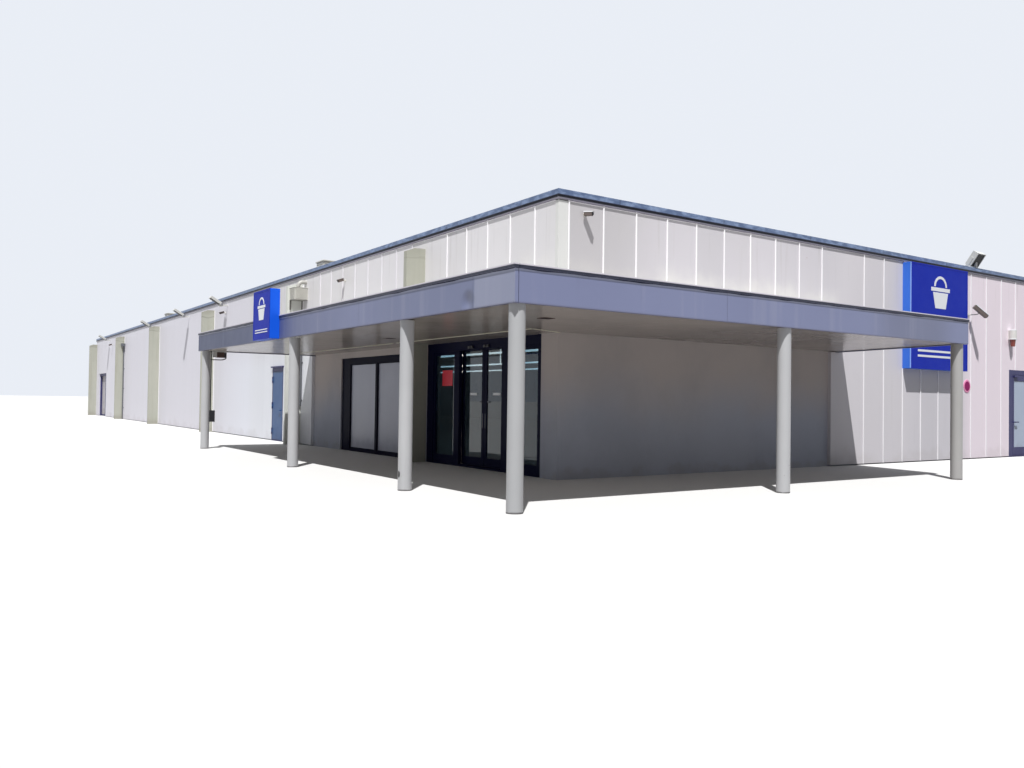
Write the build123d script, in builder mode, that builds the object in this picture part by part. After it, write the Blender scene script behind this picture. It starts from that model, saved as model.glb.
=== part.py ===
from build123d import *
import os

# Supermarket building, a long single-storey hall with a flat roof, as a 1:2 scale model.
# Every size below is in model millimetres: double it for the real building.
# +X runs along the front wall, +Y along the long entrance side, +Z up.
# The origin is the centre of the floor slab's underside, at ground level.

os.makedirs("parts", exist_ok=True)

# The hall
hall_width = 13000
hall_length = 27500
wall_thickness = 110
wall_height = 2690
floor_thickness = 20
roof_deck_bottom = 2440
roof_deck_thickness = 90

# Outer skin of the walls
cladding_thickness = 45
cladding_foot = 15
render_top = 1400
front_render_length = 4140

# Roof edge
coping_height = 60
coping_overhang = 20
coping_inner_lap = 40
band_height = 60
band_thickness = 15

# Concrete fins on the two long sides, by the distance of each from the front wall
fin_thickness = 75
fin_projection = 295
fin_height = 2545
fin_slope_run = 110
fin_slope_drop = 45
fin_starts = [2580, 6675, 11850, 17100, 22050, hall_length - fin_thickness]

# Canopy that wraps the entrance corner
canopy_left_depth = 1750
canopy_front_depth = 1825
canopy_left_end = 6215
canopy_front_end = 3907
canopy_end_skew = 410
soffit_level = 1400
soffit_thickness = 14
fascia_drop = 10
fascia_top = 1650
fascia_thickness = 30
flashing_height = 28
flashing_overhang = 10
canopy_deck_top = 1600
canopy_deck_thickness = 40
canopy_run_joint = 6
column_radius = 57.5
column_inset = 75
left_column_distances = [-160, 2470, 6070]
front_column_distances = [1075, 3825]

# Entrance with two sliding leaves between two fixed lights
entrance_start = 265
entrance_near_jamb = 65
entrance_far_jamb = 143
entrance_header_bottom = 1300
entrance_frame_setback = 10
fixed_light_setback = 20
fixed_light_depth = 40
fixed_light_stile = 38
fixed_light_head = 38
leaf_centre = 1422
leaf_width = 470
leaf_overlap = 35
light_post_width = 74
leaf_setback = 84
leaf_thickness = 24
leaf_top = 1335
leaf_stile = 48
leaf_head = 44
leaf_rail = 90
meeting_gap = 6
moving_gap = 5
seat_gap = 0.3
glass_thickness = 6
header_depth = 62
rail_level = 1345
rail_height = 20
hanger_thickness = 6
hanger_width = 60
roller_height = 16

# Closed bay with two white boards, beyond the first fin
blank_start = 3050
blank_end = 5165
blank_height = 1315
blank_head = 90
blank_near_jamb = 120
blank_far_jamb = 275
blank_post = 60
blank_sill = 45
blank_frame_depth = 60
blank_frame_setback = 20
blank_board_thickness = 20

# Service door beyond the second fin
service_start = 7515
service_width = 555
service_height = 1250
service_head = 65
service_jamb = 30
hood_height = 22
hood_depth = 30
hood_lap = 15

# Emergency door on the front wall
front_door_start = 8493
front_door_width = 740
front_door_height = 1312
front_door_head = 70
front_door_jamb = 112
door_panel_stile = 42
door_panel_rail = 90
door_kick_rail = 120
door_panel_thickness = 14

# Hinged doors share these
door_frame_depth = 70
door_leaf_thickness = 25
threshold_height = 20
hinge_radius = 9
hinge_knuckle = 36
hinge_plate_thickness = 5
hinge_plate_width = 30
hinge_levels = [0.12, 0.5, 0.88]
handle_level = 525
handle_from_edge = 45
handle_radius = 8
handle_reach = 28
handle_length = 75

# Goods door with a roller shutter, near the far end
shutter_from_back = 650
shutter_width = 1500
shutter_height = 1480
shutter_near_guide = 420
shutter_far_guide = 120
shutter_head = 80
shutter_setback = 55
shutter_thickness = 20

# Sign boxes
front_sign_start = 5665
front_sign_size = 1400
front_sign_depth = 125
front_sign_bottom = 1240
fascia_sign_start = 2750
fascia_sign_width = 575
fascia_sign_height = 550
fascia_sign_depth = 115

# Floodlights: flat heads on short arms out of the long wall, and one on the front's coping
last_floodlight_from_back = 2750
floodlight_distances = [10900, 14000, 17750, hall_length - last_floodlight_from_back]
floodlight_length = 290
floodlight_width = 150
floodlight_thickness = 45
floodlight_tilt = 31
floodlight_reach = 220
floodlight_below_wall_top = 50
floodlight_arm = 30
floodlight_arm_reach = 150
floodlight_arm_below_wall_top = 120
front_lamp_distance = 7510
front_lamp_size = 210
front_lamp_thickness = 80
front_lamp_rise = 130
front_lamp_stem = 40
front_lamp_tilt = 35
canopy_lamp_length = 185
canopy_lamp_width = 60
canopy_lamp_height = 95
canopy_lamp_gap = 32
canopy_lamp_from_end = 110

# Watching cameras, each by its distance from the entrance corner and its height
small_camera_length = 90
small_camera_size = 45
small_camera_arm = 70
small_camera_arm_size = 22
small_camera_tilt = 20
left_camera_places = [(4980, 2425), (11040, 2432), (24200, 2390)]
corner_camera_distance = 265
corner_camera_level = 2545
long_camera_from_sign = 220
long_camera_level = 2105
long_camera_length = 260
long_camera_size = 60
long_camera_height = 75
long_camera_tilt = 40
long_camera_reach = 180
long_camera_arm_reach = 105
long_camera_arm_size = 16
long_camera_arm_drop = 55
shield_overhang = 7
shield_thickness = 8

# Siren beside the emergency door: a white drum over a red cone
siren_distance = 8495
siren_level = 1660
siren_drum_radius = 50
siren_drum_height = 140
siren_cone_radius = 38
siren_cone_tip_radius = 28
siren_cone_height = 105
siren_plate = 60

# Cooling unit on the second fin, roof vents and rainwater pipes
wall_unit_length = 215
wall_unit_depth = 225
wall_unit_height = 185
wall_unit_bottom = 2280
unit_leg = 20
unit_leg_height = 150
vent_size = 350
vent_top = 3020
vent_distances = [7035, 18400]
vent_from_wall = 425
pipe_radius = 22
near_pipe_bottom = 615
near_pipe_top = 1410
far_pipe_top = 2240
hopper_size = 110
hopper_height = 90
pipe_fin = 4

# Faces that several pieces share
left_x = -hall_width / 2
right_x = hall_width / 2
front_y = -hall_length / 2
back_y = hall_length / 2
skin_left = left_x - cladding_thickness
skin_right = right_x + cladding_thickness
skin_front = front_y - cladding_thickness
skin_back = back_y + cladding_thickness
fin_tip = left_x - fin_projection
entrance_end = fin_starts[0]
canopy_left_x = left_x - canopy_left_depth
canopy_front_y = front_y - canopy_front_depth
canopy_end_y = front_y + canopy_left_end
canopy_end_x = left_x + canopy_front_end
canopy_wall_end_x = canopy_end_x + canopy_end_skew
fascia_bottom = soffit_level - fascia_drop
front_sign_x = (left_x + front_sign_start, left_x + front_sign_start + front_sign_size)
front_sign_top = front_sign_bottom + front_sign_size


def save(piece, name):
    """Label a finished piece and write it under its own name."""
    piece.part.label = name
    export_step(piece.part, f"parts/{name}.step")


def block(x, y, z):
    """Add a rectangular solid between two limits on each axis to the open part."""
    with Locations(((x[0] + x[1]) / 2, (y[0] + y[1]) / 2, (z[0] + z[1]) / 2)):
        Box(x[1] - x[0], y[1] - y[0], z[1] - z[0])


def cut_block(x, y, z):
    """Cut a rectangular hollow between two limits on each axis from the open part."""
    with Locations(((x[0] + x[1]) / 2, (y[0] + y[1]) / 2, (z[0] + z[1]) / 2)):
        Box(x[1] - x[0], y[1] - y[0], z[1] - z[0], mode=Mode.SUBTRACT)


def along(distance):
    """Y of a point on the long side, by its distance from the front wall."""
    return front_y + distance


def across(distance):
    """X of a point on the front, by its distance from the entrance side."""
    return left_x + distance


# Floor slab between the walls
with BuildPart() as floor_slab:
    block((left_x + wall_thickness, right_x - wall_thickness),
          (front_y + wall_thickness, back_y - wall_thickness), (0, floor_thickness))
save(floor_slab, "floor_slab")

# Front wall, split beside and over the emergency door
front_door_end = front_door_start + front_door_width
front_skin = (front_y, front_y + wall_thickness)
with BuildPart() as front_wall_left:
    block((left_x, across(front_door_start)), front_skin, (0, wall_height))
save(front_wall_left, "front_wall_left")

with BuildPart() as front_wall_over_door:
    block((across(front_door_start), across(front_door_end)), front_skin, (front_door_height, wall_height))
save(front_wall_over_door, "front_wall_over_door")

with BuildPart() as front_wall_right:
    block((across(front_door_end), right_x), front_skin, (0, wall_height))
save(front_wall_right, "front_wall_right")

# Entrance side wall, split beside and over the doorways that open
left_skin = (left_x, left_x + wall_thickness)
service_end = service_start + service_width
shutter_start = hall_length - shutter_from_back - shutter_width
shutter_end = shutter_start + shutter_width
with BuildPart() as left_wall_corner:
    block(left_skin, (front_y + wall_thickness, along(entrance_start)), (0, wall_height))
save(left_wall_corner, "left_wall_corner")

with BuildPart() as left_wall_over_entrance:
    block(left_skin, (along(entrance_start), along(entrance_end)), (render_top, wall_height))
save(left_wall_over_entrance, "left_wall_over_entrance")

with BuildPart() as left_wall_near:
    block(left_skin, (along(entrance_end), along(service_start)), (0, wall_height))
    cut_block(left_skin, (along(blank_start), along(blank_end)), (0, blank_height))
save(left_wall_near, "left_wall_near")

with BuildPart() as left_wall_over_service_door:
    block(left_skin, (along(service_start), along(service_end)), (service_height, wall_height))
save(left_wall_over_service_door, "left_wall_over_service_door")

with BuildPart() as left_wall_far:
    block(left_skin, (along(service_end), back_y - wall_thickness), (0, wall_height))
    cut_block(left_skin, (along(shutter_start), along(shutter_end)), (0, shutter_height))
save(left_wall_far, "left_wall_far")

# The two plain sides
with BuildPart() as right_wall:
    block((right_x - wall_thickness, right_x), (front_y + wall_thickness, back_y - wall_thickness),
          (0, wall_height))
save(right_wall, "right_wall")

with BuildPart() as back_wall:
    block((left_x, right_x), (back_y - wall_thickness, back_y), (0, wall_height))
save(back_wall, "back_wall")

# Roof deck between the walls
roof_deck_top = roof_deck_bottom + roof_deck_thickness
with BuildPart() as roof_deck:
    block((left_x + wall_thickness, right_x - wall_thickness),
          (front_y + wall_thickness, back_y - wall_thickness), (roof_deck_bottom, roof_deck_top))
save(roof_deck, "roof_deck")

# Cladding: full height on the open walls, only above the canopy where a rendered wall shows
cladding_z = (cladding_foot, wall_height)
with BuildPart() as front_cladding:
    block((skin_left, skin_right), (skin_front, front_y), cladding_z)
    cut_block((skin_left, across(front_render_length)), (skin_front, front_y), (0, fascia_top))
    cut_block((skin_left, canopy_wall_end_x), (skin_front, front_y), (fascia_bottom, fascia_top))
    cut_block((across(front_door_start), across(front_door_end)), (skin_front, front_y),
              (0, front_door_height))
save(front_cladding, "front_cladding")

with BuildPart() as left_cladding:
    block((skin_left, left_x), (front_y, skin_back), cladding_z)
    cut_block((skin_left, left_x), (front_y, canopy_end_y), (0, fascia_top))
    cut_block((skin_left, left_x), (along(service_start), along(service_end)), (0, service_height))
    cut_block((skin_left, left_x), (along(shutter_start), along(shutter_end)), (0, shutter_height))
    for start in fin_starts:
        cut_block((skin_left, left_x), (along(start), along(start + fin_thickness)), (0, fin_height))
save(left_cladding, "left_cladding")

with BuildPart() as plain_side_cladding:
    block((right_x, skin_right), (front_y, skin_back), cladding_z)
    for start in fin_starts:
        cut_block((right_x, skin_right), (along(start), along(start + fin_thickness)), (0, fin_height))
    block((left_x, right_x), (back_y, skin_back), cladding_z)
save(plain_side_cladding, "plain_side_cladding")

# Coping over the wall tops, and the pale band under it
coping_outer_width = skin_right - skin_left + 2 * coping_overhang
coping_outer_length = skin_back - skin_front + 2 * coping_overhang
coping_hole_width = hall_width - 2 * (wall_thickness + coping_inner_lap)
coping_hole_length = hall_length - 2 * (wall_thickness + coping_inner_lap)
with BuildPart() as roof_coping:
    with BuildSketch(Plane.XY.offset(wall_height)):
        Rectangle(coping_outer_width, coping_outer_length)
        Rectangle(coping_hole_width, coping_hole_length, mode=Mode.SUBTRACT)
    extrude(amount=coping_height)
save(roof_coping, "roof_coping")

with BuildPart() as coping_band:
    with BuildSketch(Plane.XY.offset(wall_height - band_height)):
        Rectangle(skin_right - skin_left + 2 * band_thickness, skin_back - skin_front + 2 * band_thickness)
        Rectangle(skin_right - skin_left, skin_back - skin_front, mode=Mode.SUBTRACT)
    extrude(amount=band_height)
    cut_block(front_sign_x, (skin_front - band_thickness, skin_front),
              (wall_height - band_height, front_sign_top))
save(coping_band, "coping_band")


# Thin concrete fins, each with its top sloped at the outer end
fin_shoulder = fin_height - fin_slope_drop
for name, wall_x, outward in [("left_fins", left_x, -1), ("right_fins", right_x, 1)]:
    outer_x = wall_x + outward * fin_projection
    slope_x = outer_x - outward * fin_slope_run
    with BuildPart() as fins:
        for start in fin_starts:
            with BuildSketch(Plane.XZ.offset(-along(start))):
                with BuildLine():
                    Polyline((wall_x, 0), (outer_x, 0), (outer_x, fin_shoulder), (slope_x, fin_height),
                             (wall_x, fin_height), close=True)
                make_face()
            extrude(amount=-fin_thickness)
    save(fins, name)

# Canopy fascia, as an entrance-side run and a front run with a joint between, and a flashing lip on top
inner_left_x = canopy_left_x + fascia_thickness
inner_front_y = canopy_front_y + fascia_thickness
lip = (fascia_top - flashing_height, fascia_top)
fascia_z = (fascia_bottom, fascia_top)
flashing_x = canopy_left_x - flashing_overhang
flashing_y = canopy_front_y - flashing_overhang
corner_joint_x = inner_left_x + canopy_run_joint


def canopy_end_at(y):
    """X of the canopy's slanting front end at a distance from the wall given by y."""
    return canopy_end_x + canopy_end_skew * (y - canopy_front_y) / (front_y - canopy_front_y)


end_return = [(canopy_end_at(y) - inset, y)
              for y, inset in [(canopy_front_y, 0), (front_y, 0),
                               (front_y, fascia_thickness), (canopy_front_y, fascia_thickness)]]
with BuildPart() as canopy_fascia:
    block((canopy_left_x, inner_left_x), (canopy_front_y, canopy_end_y), fascia_z)
    block((canopy_left_x, left_x), (canopy_end_y - fascia_thickness, canopy_end_y), fascia_z)
    block((flashing_x, canopy_left_x), (flashing_y, canopy_end_y), lip)
    block((canopy_left_x, inner_left_x), (flashing_y, canopy_front_y), lip)
    block((corner_joint_x, canopy_end_x), (canopy_front_y, inner_front_y), fascia_z)
    with BuildSketch(Plane.XY.offset(fascia_bottom)):
        with BuildLine():
            Polyline(*end_return, close=True)
        make_face()
    extrude(amount=fascia_top - fascia_bottom)
    block((corner_joint_x, canopy_end_x), (flashing_y, canopy_front_y), lip)
save(canopy_fascia, "canopy_fascia")

# Canopy deck and soffit, each as an entrance-side run and a front run with a joint between
first_fin = (along(entrance_end), along(entrance_end + fin_thickness))
left_run_y = (inner_front_y, canopy_end_y - fascia_thickness)
front_run_x = left_x + canopy_run_joint
front_run = [(front_run_x, inner_front_y), (canopy_end_at(inner_front_y) - fascia_thickness, inner_front_y),
             (canopy_end_at(front_y) - fascia_thickness, front_y), (front_run_x, front_y)]
deck_level = (canopy_deck_top - canopy_deck_thickness, canopy_deck_top)
soffit_layer = (soffit_level, soffit_level + soffit_thickness)
for name, level in [("canopy_deck", deck_level), ("canopy_soffit", soffit_layer)]:
    with BuildPart() as covering:
        block((inner_left_x, left_x), left_run_y, level)
        cut_block((fin_tip, left_x), first_fin, level)
        with BuildSketch(Plane.XY.offset(level[0])):
            with BuildLine():
                Polyline(*front_run, close=True)
            make_face()
        extrude(amount=level[1] - level[0])
    save(covering, name)

# Round columns under the soffit
column_x = canopy_left_x + column_inset
column_y = canopy_front_y + column_inset
column_places = [(column_x, column_y)]
column_places += [(column_x, along(distance)) for distance in left_column_distances]
column_places += [(across(distance), column_y) for distance in front_column_distances]
with BuildPart() as columns:
    with BuildSketch():
        with Locations(*column_places):
            Circle(column_radius)
    extrude(amount=fascia_bottom)
save(columns, "columns")

# Entrance frame: jambs, threshold and the members round the fixed lights
entrance_low = along(entrance_start)
entrance_high = along(entrance_end)
frame_x = (left_x + entrance_frame_setback, left_x + wall_thickness)
light_x = (left_x + fixed_light_setback, left_x + fixed_light_setback + fixed_light_depth)
low_post_y = along(leaf_centre - leaf_width + leaf_overlap)
high_post_y = along(leaf_centre + leaf_width - leaf_overlap)
low_post = (low_post_y - light_post_width, low_post_y)
high_post = (high_post_y, high_post_y + light_post_width)
low_light = (entrance_low + entrance_near_jamb, low_post[0])
high_light = (high_post[1], entrance_high - entrance_far_jamb)
light_z = (leaf_rail + threshold_height, entrance_header_bottom - fixed_light_head)
low_pane = (low_light[0], low_light[1] - fixed_light_stile)
high_pane = (high_light[0] + fixed_light_stile, high_light[1] - fixed_light_stile)
with BuildPart() as entrance_frame:
    block(frame_x, (entrance_low, low_light[0]), (0, entrance_header_bottom))
    block(frame_x, (high_light[1], entrance_high), (0, entrance_header_bottom))
    block(frame_x, (entrance_low, entrance_high), (0, threshold_height))
    block(light_x, (low_pane[1], low_post[1]), (0, entrance_header_bottom))
    block(light_x, (high_post[0], high_pane[0]), (0, entrance_header_bottom))
    block(light_x, (high_pane[1], high_light[1]), (0, entrance_header_bottom))
    for light in (low_light, high_light):
        block(light_x, light, (0, light_z[0]))
        block(light_x, light, (light_z[1], entrance_header_bottom))
save(entrance_frame, "entrance_frame")

# Entrance header with the rail that carries the sliding leaves
header_x = (left_x + entrance_frame_setback, left_x + entrance_frame_setback + header_depth)
rail_x = (header_x[1], left_x + leaf_setback + leaf_thickness - hanger_thickness - moving_gap)
with BuildPart() as entrance_header:
    block(header_x, (entrance_low, entrance_high), (entrance_header_bottom, render_top))
    block(rail_x, (entrance_low, entrance_high), (rail_level, rail_level + rail_height))
save(entrance_header, "entrance_header")

# Fixed glass of the entrance
glass_middle = (light_x[0] + light_x[1]) / 2
fixed_glass_x = (glass_middle - glass_thickness / 2, glass_middle + glass_thickness / 2)
with BuildPart() as entrance_fixed_glass:
    block(fixed_glass_x, low_pane, light_z)
    block(fixed_glass_x, high_pane, light_z)
save(entrance_fixed_glass, "entrance_fixed_glass")

# The two sliding leaves, hung on the rail, with their glass
leaf_x = (left_x + leaf_setback, left_x + leaf_setback + leaf_thickness)
leaf_bottom = threshold_height + moving_gap
low_leaf = (along(leaf_centre - leaf_width), along(leaf_centre) - meeting_gap / 2)
high_leaf = (along(leaf_centre) + meeting_gap / 2, along(leaf_centre + leaf_width))
for name, reach in [("sliding_leaf_near", low_leaf), ("sliding_leaf_far", high_leaf)]:
    pane_y = (reach[0] + leaf_stile, reach[1] - leaf_stile)
    pane_z = (leaf_bottom + leaf_rail, leaf_top - leaf_head)
    with BuildPart() as leaf:
        block(leaf_x, reach, (leaf_bottom, leaf_top))
        cut_block(leaf_x, pane_y, pane_z)
        for hanger_middle in (pane_y[0] + hanger_width, pane_y[1] - hanger_width):
            hanger_y = (hanger_middle - hanger_width / 2, hanger_middle + hanger_width / 2)
            roller_bottom = rail_level + rail_height + seat_gap
            block((leaf_x[1] - hanger_thickness, leaf_x[1]), hanger_y,
                  (leaf_top, roller_bottom + roller_height))
            block((leaf_x[0], leaf_x[1] - hanger_thickness), hanger_y,
                  (roller_bottom, roller_bottom + roller_height))
    save(leaf, name)
    leaf_middle = (leaf_x[0] + leaf_x[1]) / 2
    with BuildPart() as leaf_glass:
        block((leaf_middle - glass_thickness / 2, leaf_middle + glass_thickness / 2), pane_y, pane_z)
    save(leaf_glass, name + "_glass")

# Closed bay: dark frame with a middle post, and two white boards
blank_x = (left_x + blank_frame_setback, left_x + blank_frame_setback + blank_frame_depth)
blank_low = along(blank_start + blank_near_jamb)
blank_high = along(blank_end - blank_far_jamb)
board_width = (blank_high - blank_low - blank_post) / 2
board_z = (blank_sill, blank_height - blank_head)
near_board = (blank_low, blank_low + board_width)
far_board = (blank_high - board_width, blank_high)
with BuildPart() as closed_bay_frame:
    block(blank_x, (along(blank_start), along(blank_end)), (0, blank_height))
    for board in (near_board, far_board):
        cut_block(blank_x, board, board_z)
save(closed_bay_frame, "closed_bay_frame")

blank_middle = (blank_x[0] + blank_x[1]) / 2
with BuildPart() as closed_bay_boards:
    for board in (near_board, far_board):
        block((blank_middle - blank_board_thickness / 2, blank_middle + blank_board_thickness / 2),
              board, board_z)
save(closed_bay_boards, "closed_bay_boards")


def hinge_bands(leaf_bottom_z, leaf_top_z):
    """Middle heights of the hinges on a leaf."""
    return [leaf_bottom_z + (leaf_top_z - leaf_bottom_z) * share for share in hinge_levels]


# Service door in the entrance side: it turns outwards on its far edge
service_low = along(service_start)
service_high = along(service_end)
service_face = skin_left
service_frame_x = (service_face, service_face + door_frame_depth)
service_leaf_x = (service_face, service_face + door_leaf_thickness)
service_leaf_y = (service_low + service_jamb + moving_gap, service_high - service_jamb - moving_gap)
service_leaf_z = (threshold_height + moving_gap, service_height - service_head - moving_gap)
service_axis_x = service_face - hinge_radius
service_axis_y = service_high - service_jamb - moving_gap / 2
service_hinges = hinge_bands(*service_leaf_z)
with BuildPart() as service_door_frame:
    block(service_frame_x, (service_low, service_high), (0, service_height))
    cut_block(service_frame_x, (service_low + service_jamb, service_high - service_jamb),
              (threshold_height, service_height - service_head))
    block((service_face - hood_depth, service_face), (service_low - hood_lap, service_high + hood_lap),
          (service_height, service_height + hood_height))
    for level in service_hinges:
        for end in (-1, 1):
            middle = level + end * (hinge_knuckle + seat_gap)
            with Locations((service_axis_x, service_axis_y, middle)):
                Cylinder(hinge_radius, hinge_knuckle)
            block((service_face - hinge_plate_thickness, service_face),
                  (service_axis_y, service_axis_y + hinge_plate_width),
                  (middle - hinge_knuckle / 2, middle + hinge_knuckle / 2))
save(service_door_frame, "service_door_frame")

with BuildPart() as service_door_leaf:
    block(service_leaf_x, service_leaf_y, service_leaf_z)
    for level in service_hinges:
        with Locations((service_axis_x, service_axis_y, level)):
            Cylinder(hinge_radius, hinge_knuckle)
        block((service_face - hinge_plate_thickness, service_face),
              (service_axis_y - hinge_plate_width, service_axis_y),
              (level - hinge_knuckle / 2, level + hinge_knuckle / 2))
    service_spindle_y = service_leaf_y[0] + handle_from_edge
    with BuildSketch(Plane.YZ.offset(service_face - handle_reach)):
        with Locations((service_spindle_y, handle_level)):
            Circle(handle_radius)
    extrude(amount=handle_reach)
    block((service_face - handle_reach - handle_radius, service_face - handle_reach + handle_radius),
          (service_spindle_y - handle_radius, service_spindle_y + handle_length),
          (handle_level - handle_radius, handle_level + handle_radius))
save(service_door_leaf, "service_door_leaf")

# Emergency door in the front: it turns outwards on its right edge
exit_low = across(front_door_start)
exit_high = across(front_door_end)
exit_face = skin_front
exit_frame_y = (exit_face, exit_face + door_frame_depth)
exit_leaf_y = (exit_face, exit_face + door_leaf_thickness)
exit_leaf_x = (exit_low + front_door_jamb + moving_gap, exit_high - front_door_jamb - moving_gap)
exit_leaf_z = (threshold_height + moving_gap, front_door_height - front_door_head - moving_gap)
exit_panel_x = (exit_leaf_x[0] + door_panel_stile, exit_leaf_x[1] - door_panel_stile)
exit_panel_z = (exit_leaf_z[0] + door_kick_rail, exit_leaf_z[1] - door_panel_rail)
exit_axis_x = exit_high - front_door_jamb - moving_gap / 2
exit_axis_y = exit_face - hinge_radius
exit_hinges = hinge_bands(*exit_leaf_z)
with BuildPart() as front_door_frame:
    block((exit_low, exit_high), exit_frame_y, (0, front_door_height))
    cut_block((exit_low + front_door_jamb, exit_high - front_door_jamb), exit_frame_y,
              (threshold_height, front_door_height - front_door_head))
    for level in exit_hinges:
        for end in (-1, 1):
            middle = level + end * (hinge_knuckle + seat_gap)
            with Locations((exit_axis_x, exit_axis_y, middle)):
                Cylinder(hinge_radius, hinge_knuckle)
            block((exit_axis_x, exit_axis_x + hinge_plate_width),
                  (exit_face - hinge_plate_thickness, exit_face),
                  (middle - hinge_knuckle / 2, middle + hinge_knuckle / 2))
save(front_door_frame, "front_door_frame")

with BuildPart() as front_door_leaf:
    block(exit_leaf_x, exit_leaf_y, exit_leaf_z)
    cut_block(exit_panel_x, exit_leaf_y, exit_panel_z)
    for level in exit_hinges:
        with Locations((exit_axis_x, exit_axis_y, level)):
            Cylinder(hinge_radius, hinge_knuckle)
        block((exit_axis_x - hinge_plate_width, exit_axis_x),
              (exit_face - hinge_plate_thickness, exit_face),
              (level - hinge_knuckle / 2, level + hinge_knuckle / 2))
    exit_spindle_x = exit_leaf_x[0] + handle_from_edge
    with BuildSketch(Plane.XZ.offset(-exit_face)):
        with Locations((exit_spindle_x, handle_level)):
            Circle(handle_radius)
    extrude(amount=handle_reach)
    block((exit_spindle_x - handle_radius, exit_spindle_x + handle_length),
          (exit_face - handle_reach - handle_radius, exit_face - handle_reach + handle_radius),
          (handle_level - handle_radius, handle_level + handle_radius))
save(front_door_leaf, "front_door_leaf")

exit_middle = (exit_leaf_y[0] + exit_leaf_y[1]) / 2
with BuildPart() as front_door_panel:
    block(exit_panel_x, (exit_middle - door_panel_thickness / 2, exit_middle + door_panel_thickness / 2),
          exit_panel_z)
save(front_door_panel, "front_door_panel")

# Goods door: guides and head, and the shutter between them
guide_x = (left_x, left_x + wall_thickness)
shutter_low = along(shutter_start)
shutter_high = along(shutter_end)
curtain_y = (shutter_low + shutter_near_guide, shutter_high - shutter_far_guide)
curtain_x = (left_x + shutter_setback, left_x + shutter_setback + shutter_thickness)
with BuildPart() as shutter_frame:
    block(guide_x, (shutter_low, shutter_high), (0, shutter_height))
    cut_block(guide_x, curtain_y, (0, shutter_height - shutter_head))
save(shutter_frame, "shutter_frame")

with BuildPart() as roller_shutter:
    block(curtain_x, curtain_y, (0, shutter_height - shutter_head))
save(roller_shutter, "roller_shutter")

# Sign boxes, with no lettering
with BuildPart() as front_sign_box:
    block(front_sign_x, (skin_front - front_sign_depth, skin_front), (front_sign_bottom, front_sign_top))
save(front_sign_box, "front_sign_box")

fascia_sign_y = (along(fascia_sign_start), along(fascia_sign_start + fascia_sign_width))
with BuildPart() as fascia_sign_box:
    block((canopy_left_x - fascia_sign_depth, canopy_left_x), fascia_sign_y,
          (fascia_bottom, fascia_bottom + fascia_sign_height))
    cut_block((flashing_x, canopy_left_x), fascia_sign_y, lip)
save(fascia_sign_box, "fascia_sign_box")


def bar(middle, size, turn, lift=0):
    """Add a bar with its middle at a point, turned about that point, to the open part."""
    with Locations(Location(middle, turn)):
        with Locations((0, 0, lift)):
            Box(*size)


# Floodlights: five tilted heads, each on its arm or stem, and the lamp under the canopy's end
coping_top = wall_height + coping_height
arm_level = wall_height - floodlight_arm_below_wall_top
canopy_lamp_x = column_x + column_radius + canopy_lamp_gap
canopy_lamp_y = canopy_end_y - canopy_lamp_from_end
with BuildPart() as floodlights:
    for distance in floodlight_distances:
        head = (skin_left - floodlight_reach, along(distance),
                wall_height - floodlight_below_wall_top)
        bar(head, (floodlight_length, floodlight_width, floodlight_thickness), (0, floodlight_tilt, 0))
        block((skin_left - floodlight_arm_reach, skin_left),
              (along(distance) - floodlight_arm / 2, along(distance) + floodlight_arm / 2),
              (arm_level - floodlight_arm / 2, arm_level + floodlight_arm / 2))
    lamp_x = across(front_lamp_distance)
    lamp_y = skin_front - coping_overhang + front_lamp_stem / 2
    block((lamp_x - front_lamp_stem / 2, lamp_x + front_lamp_stem / 2),
          (lamp_y - front_lamp_stem / 2, lamp_y + front_lamp_stem / 2),
          (coping_top, coping_top + front_lamp_rise))
    bar((lamp_x, lamp_y, coping_top + front_lamp_rise),
        (front_lamp_size, front_lamp_thickness, front_lamp_size), (front_lamp_tilt, 0, 0))
    block((canopy_lamp_x, canopy_lamp_x + canopy_lamp_length),
          (canopy_lamp_y - canopy_lamp_width, canopy_lamp_y),
          (soffit_level - canopy_lamp_height, soffit_level))
save(floodlights, "floodlights")

# Watching cameras: small ones on short arms, and a long one with a sun shield
with BuildPart() as cameras:
    for distance, level in left_camera_places:
        block((skin_left - small_camera_arm, skin_left),
              (along(distance) - small_camera_arm_size / 2, along(distance) + small_camera_arm_size / 2),
              (level - small_camera_arm_size / 2, level + small_camera_arm_size / 2))
        bar((skin_left - small_camera_arm, along(distance), level),
            (small_camera_length, small_camera_size, small_camera_size), (0, -small_camera_tilt, 0))
    corner_x = across(corner_camera_distance)
    block((corner_x - small_camera_arm_size / 2, corner_x + small_camera_arm_size / 2),
          (skin_front - small_camera_arm, skin_front),
          (corner_camera_level - small_camera_arm_size / 2, corner_camera_level + small_camera_arm_size / 2))
    bar((corner_x, skin_front - small_camera_arm, corner_camera_level),
        (small_camera_size, small_camera_length, small_camera_size), (small_camera_tilt, 0, 0))
    long_x = front_sign_x[1] + long_camera_from_sign
    long_arm_x = (long_x - long_camera_arm_size / 2, long_x + long_camera_arm_size / 2)
    long_arm_end = skin_front - long_camera_arm_reach
    long_arm_z = long_camera_level - long_camera_arm_drop
    block(long_arm_x, (long_arm_end, skin_front), (long_arm_z, long_arm_z + long_camera_arm_size))
    block(long_arm_x, (long_arm_end, long_arm_end + long_camera_arm_size),
          (long_arm_z, long_camera_level + long_camera_size))
    long_middle = (long_x, skin_front - long_camera_reach, long_camera_level)
    long_turn = (long_camera_tilt, 0, 0)
    bar(long_middle, (long_camera_size, long_camera_length, long_camera_height), long_turn)
    bar(long_middle, (long_camera_size + 2 * shield_overhang, long_camera_length + 2 * shield_overhang,
                      shield_thickness), long_turn, (long_camera_height + shield_thickness) / 2)
save(cameras, "cameras")

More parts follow.
